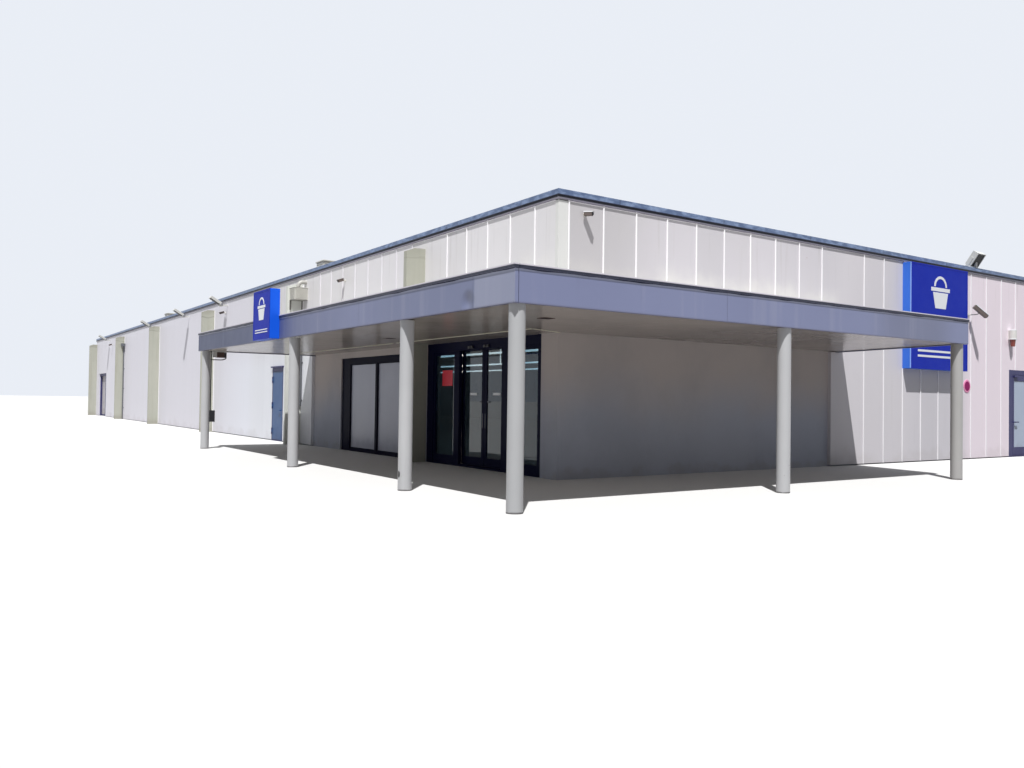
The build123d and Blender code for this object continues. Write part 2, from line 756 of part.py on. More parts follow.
# Siren: a drum over a cone that narrows downwards, on a plate against the cladding
siren_x = across(siren_distance)
siren_y = skin_front - siren_drum_radius - moving_gap
with BuildPart() as siren:
    with BuildSketch(Plane.XY.offset(siren_level + siren_cone_height)):
        with Locations((siren_x, siren_y)):
            Circle(siren_drum_radius)
    extrude(amount=siren_drum_height)
    with Locations((siren_x, siren_y, siren_level + siren_cone_height / 2)):
        Cone(siren_cone_tip_radius, siren_cone_radius, siren_cone_height)
    block((siren_x - siren_plate / 2, siren_x + siren_plate / 2), (siren_y, skin_front),
          (siren_level + siren_cone_height, siren_level + siren_cone_height + siren_drum_height))
save(siren, "siren")

# Cooling unit on the second fin, on two legs
unit_fin_y = along(fin_starts[1])
unit_x = (skin_left - wall_unit_length, skin_left)
with BuildPart() as wall_unit:
    block(unit_x, (unit_fin_y - wall_unit_depth, unit_fin_y),
          (wall_unit_bottom, wall_unit_bottom + wall_unit_height))
    for leg_x in (unit_x[0], unit_x[1] - unit_leg):
        block((leg_x, leg_x + unit_leg), (unit_fin_y - unit_leg, unit_fin_y),
              (wall_unit_bottom - unit_leg_height, wall_unit_bottom))
save(wall_unit, "wall_unit")

# Vents on the roof, just inside the entrance side
vent_x = left_x + wall_thickness + vent_from_wall
with BuildPart() as roof_vents:
    for distance in vent_distances:
        block((vent_x - vent_size / 2, vent_x + vent_size / 2),
              (along(distance) - vent_size / 2, along(distance) + vent_size / 2),
              (roof_deck_top, vent_top))
save(roof_vents, "roof_vents")

# Pipes in the corner of a fin and the wall: a short conduit, and a rainwater pipe under a hopper
pipe_x = skin_left - pipe_radius
near_pipe_y = unit_fin_y - pipe_radius
far_pipe_y = along(fin_starts[pipe_fin]) - pipe_radius
hopper_x = (skin_left - hopper_size, skin_left)
hopper_y = (far_pipe_y + pipe_radius - hopper_size, far_pipe_y + pipe_radius)
with BuildPart() as rainwater_pipes:
    with BuildSketch(Plane.XY.offset(near_pipe_bottom)):
        with Locations((pipe_x, near_pipe_y)):
            Circle(pipe_radius)
    extrude(amount=near_pipe_top - near_pipe_bottom)
    with BuildSketch():
        with Locations((pipe_x, far_pipe_y)):
            Circle(pipe_radius)
    extrude(amount=far_pipe_top)
    block(hopper_x, hopper_y, (far_pipe_top, far_pipe_top + hopper_height))
save(rainwater_pipes, "rainwater_pipes")
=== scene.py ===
# %% [markdown]
# # A supermarket hall, dressed in Blender
# The building is a long, flat-roofed hall with a canopy on round columns at its entrance corner.
# Its walls, doors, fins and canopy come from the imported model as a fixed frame, at half size.
# This lesson gives each of them its finish and adds the small things that sit on them.

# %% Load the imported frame
from math import cos, pi, radians, sin

import bmesh
import bpy
from mathutils import Matrix, Vector


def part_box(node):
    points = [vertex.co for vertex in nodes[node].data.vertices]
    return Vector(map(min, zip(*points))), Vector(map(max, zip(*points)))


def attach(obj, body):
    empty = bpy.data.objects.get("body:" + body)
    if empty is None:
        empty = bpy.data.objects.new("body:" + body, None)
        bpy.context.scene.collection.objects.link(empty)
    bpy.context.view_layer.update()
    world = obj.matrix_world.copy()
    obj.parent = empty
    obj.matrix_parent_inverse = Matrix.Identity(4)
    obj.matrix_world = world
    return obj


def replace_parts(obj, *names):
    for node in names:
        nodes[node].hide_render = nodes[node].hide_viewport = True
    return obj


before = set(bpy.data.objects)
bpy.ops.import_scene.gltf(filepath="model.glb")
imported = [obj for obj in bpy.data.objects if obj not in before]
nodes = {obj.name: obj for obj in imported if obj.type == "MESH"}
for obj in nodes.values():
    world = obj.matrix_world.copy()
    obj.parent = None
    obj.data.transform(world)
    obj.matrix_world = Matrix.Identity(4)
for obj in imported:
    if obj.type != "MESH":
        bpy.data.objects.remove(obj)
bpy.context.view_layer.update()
scene = bpy.context.scene


def metres(values):
    """Numbers cut to millimetres, for printing."""
    return [round(v, 3) for v in values]


# %% [markdown]
# The photograph was taken at eye height, off the entrance corner.
# The camera's place and turn were worked out from the corner's edges, so they are written in
# metres of the real building, counted from the foot of the corner column, and then halved.

# %% Set the camera
model_scale = 0.5
wall_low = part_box("front_wall_left")[0]
wall_corner_real = Vector((3.35, 3.50, 0.0))
wall_corner = Vector((wall_low.x, wall_low.y, 0.0))


def from_real(x, y, z):
    """Model place of a point given in real metres from the foot of the corner column."""
    return wall_corner + (Vector((x, y, z)) - wall_corner_real) * model_scale


camera_place_real = (-6.385, -9.293, 1.5)
camera_yaw = radians(34.208)
camera_pitch = radians(1.091)
camera_roll = radians(0.805)
focal_pixels = 848.368
picture_width = 1024
sensor_width = 36.0

level_forward = Vector((sin(camera_yaw), cos(camera_yaw), 0.0))
forward = level_forward * cos(camera_pitch) + Vector((0, 0, sin(camera_pitch)))
level_right = Vector((cos(camera_yaw), -sin(camera_yaw), 0.0))
level_up = level_right.cross(forward)
right = level_right * cos(camera_roll) + level_up * sin(camera_roll)
up = level_up * cos(camera_roll) - level_right * sin(camera_roll)
camera_turn = Matrix((right, up, -forward)).transposed().to_4x4()

camera_data = bpy.data.cameras.new("photo_camera")
camera_data.sensor_width = sensor_width
camera_data.lens = focal_pixels / picture_width * sensor_width
camera_data.clip_start = 0.1
camera_data.clip_end = 500.0
camera = bpy.data.objects.new("photo_camera", camera_data)
camera.matrix_world = Matrix.Translation(from_real(*camera_place_real)) @ camera_turn
scene.collection.objects.link(camera)
scene.camera = camera
print("camera at", metres(camera.matrix_world.translation))

# %% [markdown]
# A shader pattern is a sum of simple fields: height, noise, distance from an edge.
# Node by node such sums are hard to read, so one small class wraps a socket and lets Python's
# own operators add the Math nodes. Every other node comes from the one method below it.


# %% Wrap sockets so that node maths reads like a formula
class Wire:
    """One output of a node, usable in sums."""

    def __init__(self, tree, socket):
        self.tree = tree
        self.socket = socket

    def out(self, key):
        """Another output of the same node."""
        return Wire(self.tree, self.socket.node.outputs[key])

    def __add__(self, other):
        return self.tree.maths("ADD", self, other)

    def __radd__(self, other):
        return self.tree.maths("ADD", other, self)

    def __sub__(self, other):
        return self.tree.maths("SUBTRACT", self, other)

    def __rsub__(self, other):
        return self.tree.maths("SUBTRACT", other, self)

    def __mul__(self, other):
        return self.tree.maths("MULTIPLY", self, other)

    def __rmul__(self, other):
        return self.tree.maths("MULTIPLY", other, self)

    def __truediv__(self, other):
        return self.tree.maths("DIVIDE", self, other)

    def __abs__(self):
        return self.tree.maths("ABSOLUTE", self)


class Tree:
    """A node tree with one way to add a node: its kind, then its settings, then its sockets."""

    def __init__(self, tree):
        self.tree = tree

    def node(self, kind, settings=None, values=None):
        made = self.tree.nodes.new(kind)
        for key, value in (settings or {}).items():
            setattr(made, key, value)
        for key, value in (values or {}).items():
            if isinstance(value, Wire):
                self.tree.links.new(value.socket, made.inputs[key])
            else:
                made.inputs[key].default_value = value
        return Wire(self, made.outputs[0]) if made.outputs else None

    def maths(self, operation, first, second=0.0):
        return self.node("ShaderNodeMath", {"operation": operation}, {0: first, 1: second})

    def seen_directly(self):
        """1 for rays from the camera, straight or by way of glass and shine, and 0 for light."""
        rays = self.node("ShaderNodeLightPath")
        seen = self.maths("MAXIMUM", rays.out("Is Camera Ray"), rays.out("Is Glossy Ray"))
        return self.maths("MAXIMUM", seen, rays.out("Is Transmission Ray"))


print("node helpers ready")

# %% [markdown]
# Weather draws the same few marks on every outside surface: runs of dirt that fall from an edge,
# splashes near the ground, soft blotches and fine grain. They are written once here as fields
# from 0 to 1 over Object coordinates, so that they keep the same scale on every piece.
# A finish starts from two near tones, and each mark lays one more tone over them by its share.


# %% Fields that the finishes share
def tone(red, green, blue):
    """A colour as it looks on a screen, from 0 to 255, made linear for the shader."""
    linear = [((v / 255 + 0.055) / 1.055) ** 2.4 if v > 10 else v / 255 / 12.92
              for v in (red, green, blue)]
    return (*linear, 1.0)


class Surface(Tree):
    """The tree of one finish, with its place on the building and the marks of the weather."""

    def __init__(self, name, metallic=0.0, roughness=0.5, **constants):
        self.material = bpy.data.materials.new(name)
        self.material.use_nodes = True
        super().__init__(self.material.node_tree)
        self.shader = self.tree.nodes["Principled BSDF"]
        self.shader.inputs["Metallic"].default_value = metallic
        self.shader.inputs["Roughness"].default_value = roughness
        for key, value in constants.items():
            self.shader.inputs[key.replace("_", " ")].default_value = value
        self.place = self.node("ShaderNodeTexCoord").out("Object")
        axes = self.node("ShaderNodeSeparateXYZ", None, {0: self.place})
        self.x, self.y, self.z = axes.out(0), axes.out(1), axes.out(2)

    def feed(self, key, wire):
        self.tree.links.new(wire.socket, self.shader.inputs[key])

    def blend(self, share, first, second):
        """Mix of two colours by a share from 0 to 1."""
        return self.node("ShaderNodeMix", {"data_type": "RGBA"}, {0: share, 6: first, 7: second}).out(2)

    def start(self, share, dark, pale):
        """Begin the colour with a mix of two tones."""
        self.colour = self.blend(share, tone(*dark), tone(*pale))

    def tint(self, share, *shade):
        """Lay another tone over the colour so far."""
        self.colour = self.blend(share, self.colour, tone(*shade))

    def finish(self, roughness=None, relief=None, depth=None, strength=1.0):
        """Feed the colour to the shader, with a varying roughness and a relief in metres if given."""
        self.feed("Base Color", self.colour)
        if roughness is not None:
            self.feed("Roughness", roughness)
        if relief is not None:
            self.feed("Normal", self.node("ShaderNodeBump", None, {
                "Height": relief, "Distance": depth, "Strength": strength}))
        return self.material

    def noise(self, scale, detail=4.0, stretch=(1, 1, 1), roughness=0.55):
        """Soft noise, stretched by its own scale on each axis."""
        spread = self.node("ShaderNodeVectorMath", {"operation": "MULTIPLY"}, {0: self.place, 1: stretch})
        return self.node("ShaderNodeTexNoise", None, {
            "Vector": spread, "Scale": scale, "Detail": detail, "Roughness": roughness})

    def step(self, wire, low, high):
        """0 below low, 1 above high, smooth between. Turned round where low is the larger."""
        return self.node("ShaderNodeMapRange", {"interpolation_type": "SMOOTHSTEP"},
                         {"Value": wire, "From Min": low, "From Max": high})

    def zone(self, wire, origin, start, full, fade, end):
        """1 from full to fade and 0 before start and after end, all counted from an origin."""
        return self.step(wire, origin + start, origin + full) * self.step(wire, origin + end, origin + fade)

    def spot(self, place, middle, radius, inner):
        """1 within the inner distance of a middle point, 0 beyond the radius."""
        gap = self.node("ShaderNodeVectorMath", {"operation": "DISTANCE"}, {0: place, 1: middle})
        return self.step(gap.out("Value"), radius, inner)

    def drips(self, scale, sharp):
        """Runs of dirt: noise drawn out along the height."""
        return self.step(self.noise(scale, 6.0, (1, 1, 0.05), 0.6), sharp, sharp + 0.16)

    def blotches(self, scale, sharp):
        return self.step(self.noise(scale, 5.0, (1, 1, 0.8), 0.6), sharp, sharp + 0.22)

    def grain(self, scale):
        return self.noise(scale, 3.0)

    def panel(self, wire, width, start):
        """A random number from 0 to 1 for each panel of that width along an axis."""
        count = self.maths("FLOOR", (wire - start) / width)
        return self.node("ShaderNodeTexWhiteNoise", {"noise_dimensions": "1D"}, {"W": count})

    def seam(self, wire, width, start, half):
        """1 on a thin line at each joint between panels of that width."""
        share = self.maths("FRACT", (wire - start) / width)
        near = self.maths("MINIMUM", share, 1.0 - share)
        return self.step(near * width, half, half * 0.4)

    def seams(self, across, deep, half):
        """Thin joint lines both ways, each way given as a panel width and where it starts."""
        return self.maths("MAXIMUM", self.seam(self.x, *across, half), self.seam(self.y, *deep, half))


print("white paint in linear light", metres(tone(225, 222, 220)))

# %% [markdown]
# The tall cladding is pale coated sheet in narrow panels, each weathered a little differently.
# Rain has drawn grey runs under the roof edge and splashed the foot. The sheet has a faint oil-can
# waviness, so its highlights are never quite straight; a low bump gives that. The canopy's roof
# throws a warm light up the wall above it, and this zone fades out where the canopy ends.

# %% Cladding finish
panel_width = 0.430
canopy_low, canopy_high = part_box("canopy_fascia")
front_joint_shift = 0.077
side_joint_shift = -0.095


def cladding_finish(name, dark, pale, along, canopy_end, far_start, far_colour):
    """Sheet on a wall that runs along one axis, 0 or 1, lit from the canopy's roof up to its end."""
    skin = Surface(name, roughness=0.42)
    run = (skin.x, skin.y)[along]
    corner = wall_corner[along]
    across = skin.panel(skin.x, panel_width, wall_corner.x + front_joint_shift)
    deep = skin.panel(skin.y, panel_width, wall_corner.y + side_joint_shift)
    skin.start(across * 0.5 + deep * 0.5, dark, pale)
    skin.tint(skin.blotches(0.7, 0.5) * 0.2, 206, 204, 196)
    skin.tint(skin.step(run, far_start, far_start + 0.6) * 0.7, *far_colour)
    lit = skin.step(skin.z + skin.noise(2.5, 6.0) * 0.5, 2.45, 1.95)
    lit = lit * skin.step(run, canopy_end + 0.3, canopy_end - 0.3)
    lit = lit * skin.step(skin.z, canopy_high.z - 0.05, canopy_high.z)
    skin.tint(lit * 0.9, 246, 245, 236)
    if along:
        under = skin.step(skin.z, canopy_high.z + 0.3, canopy_high.z - 0.5)
        under = under * skin.step(run, far_start + 3.4, far_start + 0.4)
        skin.tint(under * 0.6, 238, 242, 250)
    else:
        skin.tint(skin.step(run, corner + 1.7, corner + 0.2) * 0.6, 178, 175, 176)
        # Painted light: a paler stretch of the front wall beside the sign carries the canopy's lit zone on.
        painted_light_beside_sign = skin.zone(run, corner, 3.9, 4.6, 5.4, 6.4)
        skin.tint(painted_light_beside_sign * 0.5, 226, 221, 224)
    high = skin.step(skin.z, 2.0, 2.65)
    skin.tint(skin.drips(14.0, 0.56) * (0.08 + high * 0.2), 176, 172, 168)
    low = skin.step(skin.z, 0.3, 0.02)
    splash = skin.step(skin.noise(3.0, 7.0) + low * 0.4, 0.68, 1.0)
    skin.tint(splash * 0.15, 178, 170, 160)
    rust = skin.step(skin.noise(7.0, 8.0), 0.72, 0.77)
    skin.tint(rust * skin.step(skin.z, 1.2, 2.4) * 0.5, 150, 112, 84)
    wave = skin.noise(2.2, 1.0, (1, 1, 0.35))
    return skin.finish(0.38 + skin.noise(5.0) * 0.14 + splash * 0.2,
                       wave + skin.grain(240.0) * 0.02, 0.01, 0.4)


front_cladding_paint = cladding_finish(
    "front_cladding_paint", (196, 193, 197), (214, 210, 215), 0,
    wall_corner.x + 4.2, wall_corner.x + 6.9, (254, 238, 246))
side_cladding_paint = cladding_finish(
    "side_cladding_paint", (214, 212, 214), (228, 226, 228), 1,
    wall_corner.y + 6.2, wall_corner.y + 9.0, (226, 224, 234))
plain_cladding_paint = cladding_finish(
    "plain_cladding_paint", (214, 212, 214), (228, 226, 228), 1,
    wall_corner.y - 2.0, wall_corner.y - 4.0, (226, 224, 234))
print("cladding", len(front_cladding_paint.node_tree.nodes), "nodes")

# %% [markdown]
# Under the canopy the walls are painted render: matt, paler where rubbed, stained, and grey near the
# paving. Painted shade turns the colour warmer above and a bluer grey low down. Fine sand grain gives
# the bump. The fins are bare concrete with runs and one tide line; the first fin is darker than the
# rest, and the second is painted paler, as painted light over the shade that falls on it.


# %% Render, concrete and floor finishes
def render_finish():
    wall = Surface("painted_render", roughness=0.82)
    patches = wall.blotches(0.8, 0.42)
    # Painted shade: warmer above and a bluer grey low down, as the wall looks in the canopy's shade.
    upper = wall.blend(patches, tone(196, 186, 182), tone(184, 176, 174))
    lower = wall.blend(patches, tone(178, 184, 200), tone(168, 174, 190))
    wall.colour = wall.blend(wall.step(wall.z + wall.noise(1.1, 2.0) * 0.6, 0.7, 1.5), lower, upper)
    wall.tint(wall.noise(0.5, 2.0) * 0.3, 204, 202, 196)
    grime = wall.step(wall.noise(5.0, 8.0) + wall.step(wall.z, 0.22, 0.0) * 0.4, 0.72, 1.0)
    wall.tint(grime * 0.3, 150, 142, 138)
    wall.tint(wall.drips(10.0, 0.62) * 0.12, 160, 154, 150)
    return wall.finish(None, wall.grain(300.0) * 0.6 + wall.noise(40.0, 4.0) * 0.6, 0.0025)


def concrete_finish():
    slab = Surface("stained_concrete", roughness=0.86)
    slab.start(slab.noise(1.6, 6.0), (168, 169, 156), (186, 186, 174))
    slab.tint(slab.drips(11.0, 0.5) * 0.5, 162, 162, 146)
    tide = slab.z + slab.noise(1.1, 3.0) * 0.5
    slab.tint(slab.step(abs(tide - 2.66), 0.022, 0.004) * 0.5, 128, 128, 116)
    slab.tint(slab.step(slab.z, 2.40, 2.54) * slab.noise(6.0, 6.0) * 0.8, 146, 142, 128)
    slab.tint(slab.step(slab.z, 0.2, 0.0) * 0.4, 140, 134, 122)
    # Painted light: the second fin is painted paler to make up for the shade that falls on it.
    painted_light_second_fin = slab.step(abs(slab.y - wall_corner.y - 6.7), 1.5, 1.0)
    slab.tint(painted_light_second_fin * 0.85, 222, 224, 218)
    first_fin = slab.step(slab.y, wall_corner.y + 3.4, wall_corner.y + 3.0)
    slab.tint(first_fin * 0.65, 160, 160, 148)
    pores = slab.step(slab.noise(90.0, 2.0), 0.32, 0.2)
    return slab.finish(None, slab.noise(14.0, 7.0) * 0.8 - pores * 0.6, 0.004)


def floor_finish():
    tiles = Surface("worn_floor_tiles", roughness=0.35)
    joint = tiles.seams((0.15, 0.0), (0.15, 0.0), 0.003)
    tiles.start(tiles.noise(3.0, 6.0), (120, 118, 116), (146, 142, 138))
    tiles.tint(joint, 82, 80, 78)
    return tiles.finish(0.3 + tiles.noise(6.0) * 0.25, 1.0 - joint, 0.001)


wall_render = render_finish()
fin_concrete = concrete_finish()
shop_floor = floor_finish()
print("render", len(wall_render.node_tree.nodes), "concrete", len(fin_concrete.node_tree.nodes))

# %% [markdown]
# The metal at the roof's edge is a dark blue coated flashing, chalked by the sun into lighter
# patches. The canopy's deep fascia is a smooth grey-blue sheet with faint runs, a joint every few
# metres and one dent by the corner, where the sheet was struck; the dent is a round field in bump.

# %% Flashing and fascia finishes
canopy_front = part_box("canopy_soffit")[0] - Vector((0.03, 0.03, 0.0))
dent_place = from_real(-0.15, 1.02, 2.87)
coping_low, coping_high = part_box("roof_coping")
lip_low = canopy_high.z - 0.028


def flashing_finish():
    trim = Surface("chalked_flashing", metallic=0.15, roughness=0.4)
    chalk = trim.step(trim.noise(9.0, 7.0, (1, 1, 2.5)), 0.38, 0.68)
    trim.start(chalk, (84, 102, 136), (130, 148, 180))
    # Painted shade: a nearly black line along the coping's lower edge, where it turns under.
    trim.tint(trim.step(trim.z, coping_low.z + 0.013, coping_low.z + 0.008), 14, 16, 36)
    joint = trim.seams((1.5, 0.2), (1.5, 0.3), 0.005)
    trim.tint(joint * 0.7, 34, 38, 58)
    return trim.finish(0.32 + chalk * 0.3, trim.noise(6.0, 3.0) - joint, 0.004)


def band_finish():
    """The grey band under the coping, with painted shade nearly black in the gap along its upper edge."""
    band = Surface("grey_roof_band", roughness=0.5)
    band.start(band.noise(6.0, 5.0), (122, 120, 134), (146, 142, 156))
    band.colour = band.blend(band.step(band.z, coping_low.z - 0.020, coping_low.z - 0.017),
                             band.colour, tone(12, 12, 28))
    return band.finish(None, band.noise(5.0, 2.0), 0.002)


def fascia_finish():
    sheet = Surface("grey_blue_fascia", metallic=0.1, roughness=0.38)
    sheet.start(sheet.noise(0.7, 3.0), (116, 122, 154), (134, 140, 172))
    sheet.tint(sheet.step(sheet.y, canopy_front.y + 1.5, canopy_front.y + 7.0) * 0.95, 44, 53, 86)
    sheet.tint(sheet.zone(sheet.x, canopy_front.x, 3.8, 4.4, 5.0, 5.5) * 0.4, 92, 94, 106)
    left_side = sheet.step(sheet.x, canopy_front.x + 0.006, canopy_front.x + 0.002)
    # A darker stretch of the fascia's left side near the corner.
    darker_stretch_near_corner = left_side * sheet.step(sheet.y, canopy_front.y + 2.8, canopy_front.y + 1.6)
    sheet.tint(darker_stretch_near_corner * 0.25, 84, 92, 112)
    new_sheet = left_side * sheet.step(sheet.y, canopy_front.y + 0.504, canopy_front.y + 0.5)
    sheet.tint(new_sheet * 0.6, 158, 162, 182)
    sheet.tint(sheet.drips(6.0, 0.52) * 0.2, 160, 162, 180)
    sheet.tint(sheet.drips(9.0, 0.6) * 0.25, 96, 96, 116)
    # Painted light: a paler strip under the lip, laid over the shade that the lip casts on the fascia.
    sheet.tint(sheet.step(sheet.z, lip_low - 0.024, lip_low - 0.010) * 0.6, 190, 194, 214)
    sheet.tint(sheet.step(sheet.z, lip_low - 0.001, lip_low + 0.001), 28, 30, 50)
    sheet.tint(sheet.step(sheet.z, canopy_high.z - 0.010, canopy_high.z - 0.008), 206, 202, 210)
    sheet.tint(sheet.step(sheet.z, 1.405, 1.388) * 0.6, 92, 88, 104)
    joint = sheet.seams((3.9, wall_corner.x + 0.284), (1.95, 0.55), 0.003)
    sheet.tint(joint * 0.35, 70, 70, 92)
    dent = sheet.spot(sheet.place, dent_place, 0.11, 0.0)
    buckle = sheet.noise(1.6, 1.0, (1, 1, 0.3)) * 0.8
    return sheet.finish(0.34 + sheet.noise(4.0) * 0.16, buckle - dent * 1.6 - joint * 0.3, 0.02, 0.7)


def soffit_finish():
    lining = Surface("canopy_lining", roughness=0.2)
    joint = lining.seams((0.6, 0.1), (1.5, 0.2), 0.003)
    lining.start(lining.noise(1.1, 5.0), (170, 160, 150), (188, 180, 172))
    lining.tint(lining.blotches(2.0, 0.55) * 0.3, 150, 138, 124)
    # Painted shade: a darker, greyer band across the lining of the front run.
    lining.tint(lining.zone(lining.x, wall_corner.x, 0.3, 1.2, 2.4, 3.2) * 0.35, 104, 98, 104)
    lining.tint(joint * 0.5, 120, 112, 106)
    return lining.finish(0.14 + lining.noise(3.0) * 0.14, lining.noise(1.3, 1.0) - joint * 0.3, 0.006)


flashing_paint = flashing_finish()
band_paint = band_finish()
fascia_paint = fascia_finish()
soffit_paint = soffit_finish()
print("dent at", metres(dent_place))

# %% [markdown]
# The columns are steel tubes in pale grey paint, a little smeared and dark just round the foot.
# Three of them have an oval cable hole low on one side. Each is a dark oval field of painted
# shade in the paint, since a hole that shows nothing inside needs no cut.


# %% Column finish
def shift(base, x, y, z):
    """A point moved by a distance along each axis."""
    return base + Vector((x, y, z))


column_radius = 0.0575
hole_level = 0.134
hole_flattening = 0.55
corner_column = canopy_front + Vector((0.075, 0.075, 0.0))
second_column = Vector((corner_column.x, wall_corner.y - 0.160, 0.0))
last_front_column = Vector((wall_corner.x + 3.825, corner_column.y, 0.0))
hole_spots = [(shift(corner_column, -column_radius, -0.003, hole_level), 0.0165),
              (shift(second_column, -column_radius, -0.003, hole_level), 0.0165),
              (shift(last_front_column, column_radius * 0.7, -column_radius * 0.7, hole_level), 0.010)]


def column_finish():
    tube = Surface("column_paint", roughness=0.46)
    tube.start(tube.noise(2.0, 5.0), (174, 175, 177), (192, 192, 193))
    tube.tint(tube.drips(16.0, 0.58) * 0.25, 158, 156, 152)
    last_tube = tube.step(tube.x, last_front_column.x - 0.5, last_front_column.x - 0.4)
    tube.tint(last_tube * 0.4, 146, 140, 130)
    corner_sum = corner_column.x + corner_column.y
    tube.tint(tube.step(tube.x + tube.y, corner_sum + 0.6, corner_sum + 0.4) * 0.3, 146, 148, 148)
    chips = tube.step(tube.noise(30.0, 5.0) + tube.step(tube.z, 0.5, 0.0) * 0.05, 0.76, 0.79)
    tube.tint(chips * 0.6, 112, 108, 106)
    foot = tube.step(tube.z + tube.noise(20.0, 3.0) * 0.012, 0.022, 0.012)
    tube.tint(foot * 0.8, 70, 66, 66)
    squeezed = tube.node("ShaderNodeVectorMath", {"operation": "MULTIPLY"},
                         {0: tube.place, 1: (1.0, 1.0, hole_flattening)})
    hole = 0.0
    for spot, radius in hole_spots:
        middle = (spot.x, spot.y, spot.z * hole_flattening)
        hole = tube.maths("MAXIMUM", hole, tube.spot(squeezed, middle, radius, radius * 0.9))
    # Painted shade: the dark insides of the cable holes.
    tube.tint(hole, 16, 16, 18)
    relief = tube.noise(60.0, 3.0) * 0.3 - chips * 0.6 - hole * 2.0
    return tube.finish(0.4 + chips * 0.3 + foot * 0.3, relief, 0.0015)


column_paint = column_finish()
print("column paint", len(column_paint.node_tree.nodes), "nodes")

# %% [markdown]
# Most fittings share one kind of paint, powder coat or gloss on metal. One function makes it from
# two near tones, and each coat says how rough, dirty, metallic and shiny it is.


# %% Coats
def coat_finish(name, dark, pale, roughness, dirt=0.3, metallic=0.0, dirt_colour=(120, 112, 102), shine=0.5):
    """Two near tones, dust low down and fine orange peel."""
    coat = Surface(name, metallic=metallic, roughness=roughness, Specular_IOR_Level=shine)
    coat.start(coat.noise(2.4, 5.0), dark, pale)
    dust = coat.step(coat.noise(6.0, 7.0) + coat.step(coat.z, 0.4, 0.0) * 0.45, 0.62, 1.0)
    coat.tint(dust * dirt, *dirt_colour)
    return coat.finish(roughness - 0.06 + coat.noise(8.0, 5.0) * 0.14 + dust * 0.2,
                       coat.grain(420.0), 0.0006, 0.6)


navy_frame = coat_finish("navy_door_frame", (6, 8, 34), (13, 16, 46), 0.5, 0.05, 0.0, (50, 52, 72), 0.06)
slate_frame = coat_finish(
    "slate_door_frame", (50, 50, 92), (64, 64, 106), 0.42, 0.15, 0.0, (110, 106, 112), 0.2)
blue_door = coat_finish(
    "slate_blue_door", (50, 80, 124), (66, 96, 140), 0.42, 0.2, 0.0, (120, 116, 112), 0.25)
pale_panel = coat_finish("pale_blue_panel", (160, 172, 192), (178, 190, 208), 0.4, 0.3)
# Painted shade: the white closing boards are given a darker blue-grey, as they look in the canopy's shade.
closing_board_in_painted_shade = coat_finish("white_closing_board_painted_shade", (158, 162, 180), (172, 176, 192), 0.34, 0.15)
bay_navy = coat_finish("navy_bay_frame", (6, 7, 26), (12, 13, 36), 0.55, 0.04, 0.0, (50, 50, 66), 0.05)
shutter_paint = coat_finish("pale_roller_shutter", (176, 172, 176), (196, 192, 194), 0.42, 0.4)
fitting_paint = coat_finish("off_white_casing", (196, 194, 186), (214, 212, 204), 0.42, 0.45)
lamp_casing = coat_finish("pale_lamp_casing", (196, 196, 192), (214, 214, 210), 0.4, 0.3)
dark_plastic = coat_finish("dark_plastic", (24, 24, 28), (40, 40, 46), 0.38, 0.25)
sign_blue = coat_finish("blue_sign_face", (8, 34, 158), (12, 42, 170), 0.5, 0.06, 0.0, (60, 80, 150), 0.15)
sign_side = coat_finish(
    "bright_blue_sign_side", (8, 84, 222), (22, 102, 236), 0.42, 0.06, 0.0, (90, 120, 190), 0.25)
pale_sign_side = coat_finish(
    "faded_blue_sign_side", (52, 108, 214), (66, 122, 226), 0.42, 0.06, 0.0, (90, 120, 190), 0.25)
sign_edge = coat_finish("pale_blue_sign_edge", (126, 164, 236), (140, 178, 244), 0.4, 0.05)
white_vinyl = coat_finish("white_sign_shape", (226, 228, 232), (240, 242, 244), 0.3, 0.12)
dark_steel = coat_finish("dark_steel_grip", (60, 62, 70), (84, 86, 94), 0.34, 0.1, 0.8)
steel_trim = coat_finish("brushed_steel", (150, 150, 152), (188, 188, 190), 0.28, 0.2, 0.9)
notice_red = coat_finish("blank_red_notice", (232, 52, 72), (244, 66, 86), 0.32, 0.05)
camera_body = coat_finish("brown_camera_body", (84, 74, 70), (112, 100, 94), 0.4, 0.2)
pipe_zinc = coat_finish("dull_zinc_pipe", (96, 98, 104), (124, 126, 130), 0.44, 0.4, 0.5)
canopy_roof = coat_finish("pale_canopy_roof", (196, 194, 192), (214, 212, 210), 0.7, 0.3)
lamp_glass = coat_finish("dark_lamp_glass", (20, 22, 28), (34, 36, 42), 0.4, 0.06, 0.0, (80, 78, 74), 0.15)
recess_black = coat_finish(
    "dark_recessed_lamp", (22, 22, 24), (36, 36, 40), 0.6, 0.05, 0.0, (60, 58, 56), 0.05)
brown_casing = coat_finish("brown_lamp_casing", (62, 44, 40), (84, 60, 54), 0.4, 0.2)
cream_trim = coat_finish("cream_ceiling_trim", (226, 222, 196), (238, 234, 210), 0.4, 0.1)
disc_plum = coat_finish("plum_disc", (132, 10, 84), (148, 18, 96), 0.5, 0.04, 0.0, (120, 60, 90), 0.15)
disc_rim = coat_finish("pink_disc_rim", (226, 132, 176), (238, 150, 190), 0.4, 0.05)
corner_paint = coat_finish("grey_corner_strip", (212, 212, 209), (222, 222, 220), 0.44, 0.25)
duct_paint = coat_finish("grey_duct", (166, 164, 158), (188, 186, 180), 0.42, 0.4)
joint_paint = coat_finish("bright_cover_joint", (246, 244, 246), (254, 252, 254), 0.36, 0.1)
dull_joint_paint = coat_finish("dull_cover_joint", (224, 221, 225), (236, 233, 238), 0.4, 0.2)
strip_paint = coat_finish("dark_seal_strip", (34, 36, 60), (50, 52, 78), 0.45, 0.1, 0.0, (90, 88, 100), 0.2)
print("coats ready")

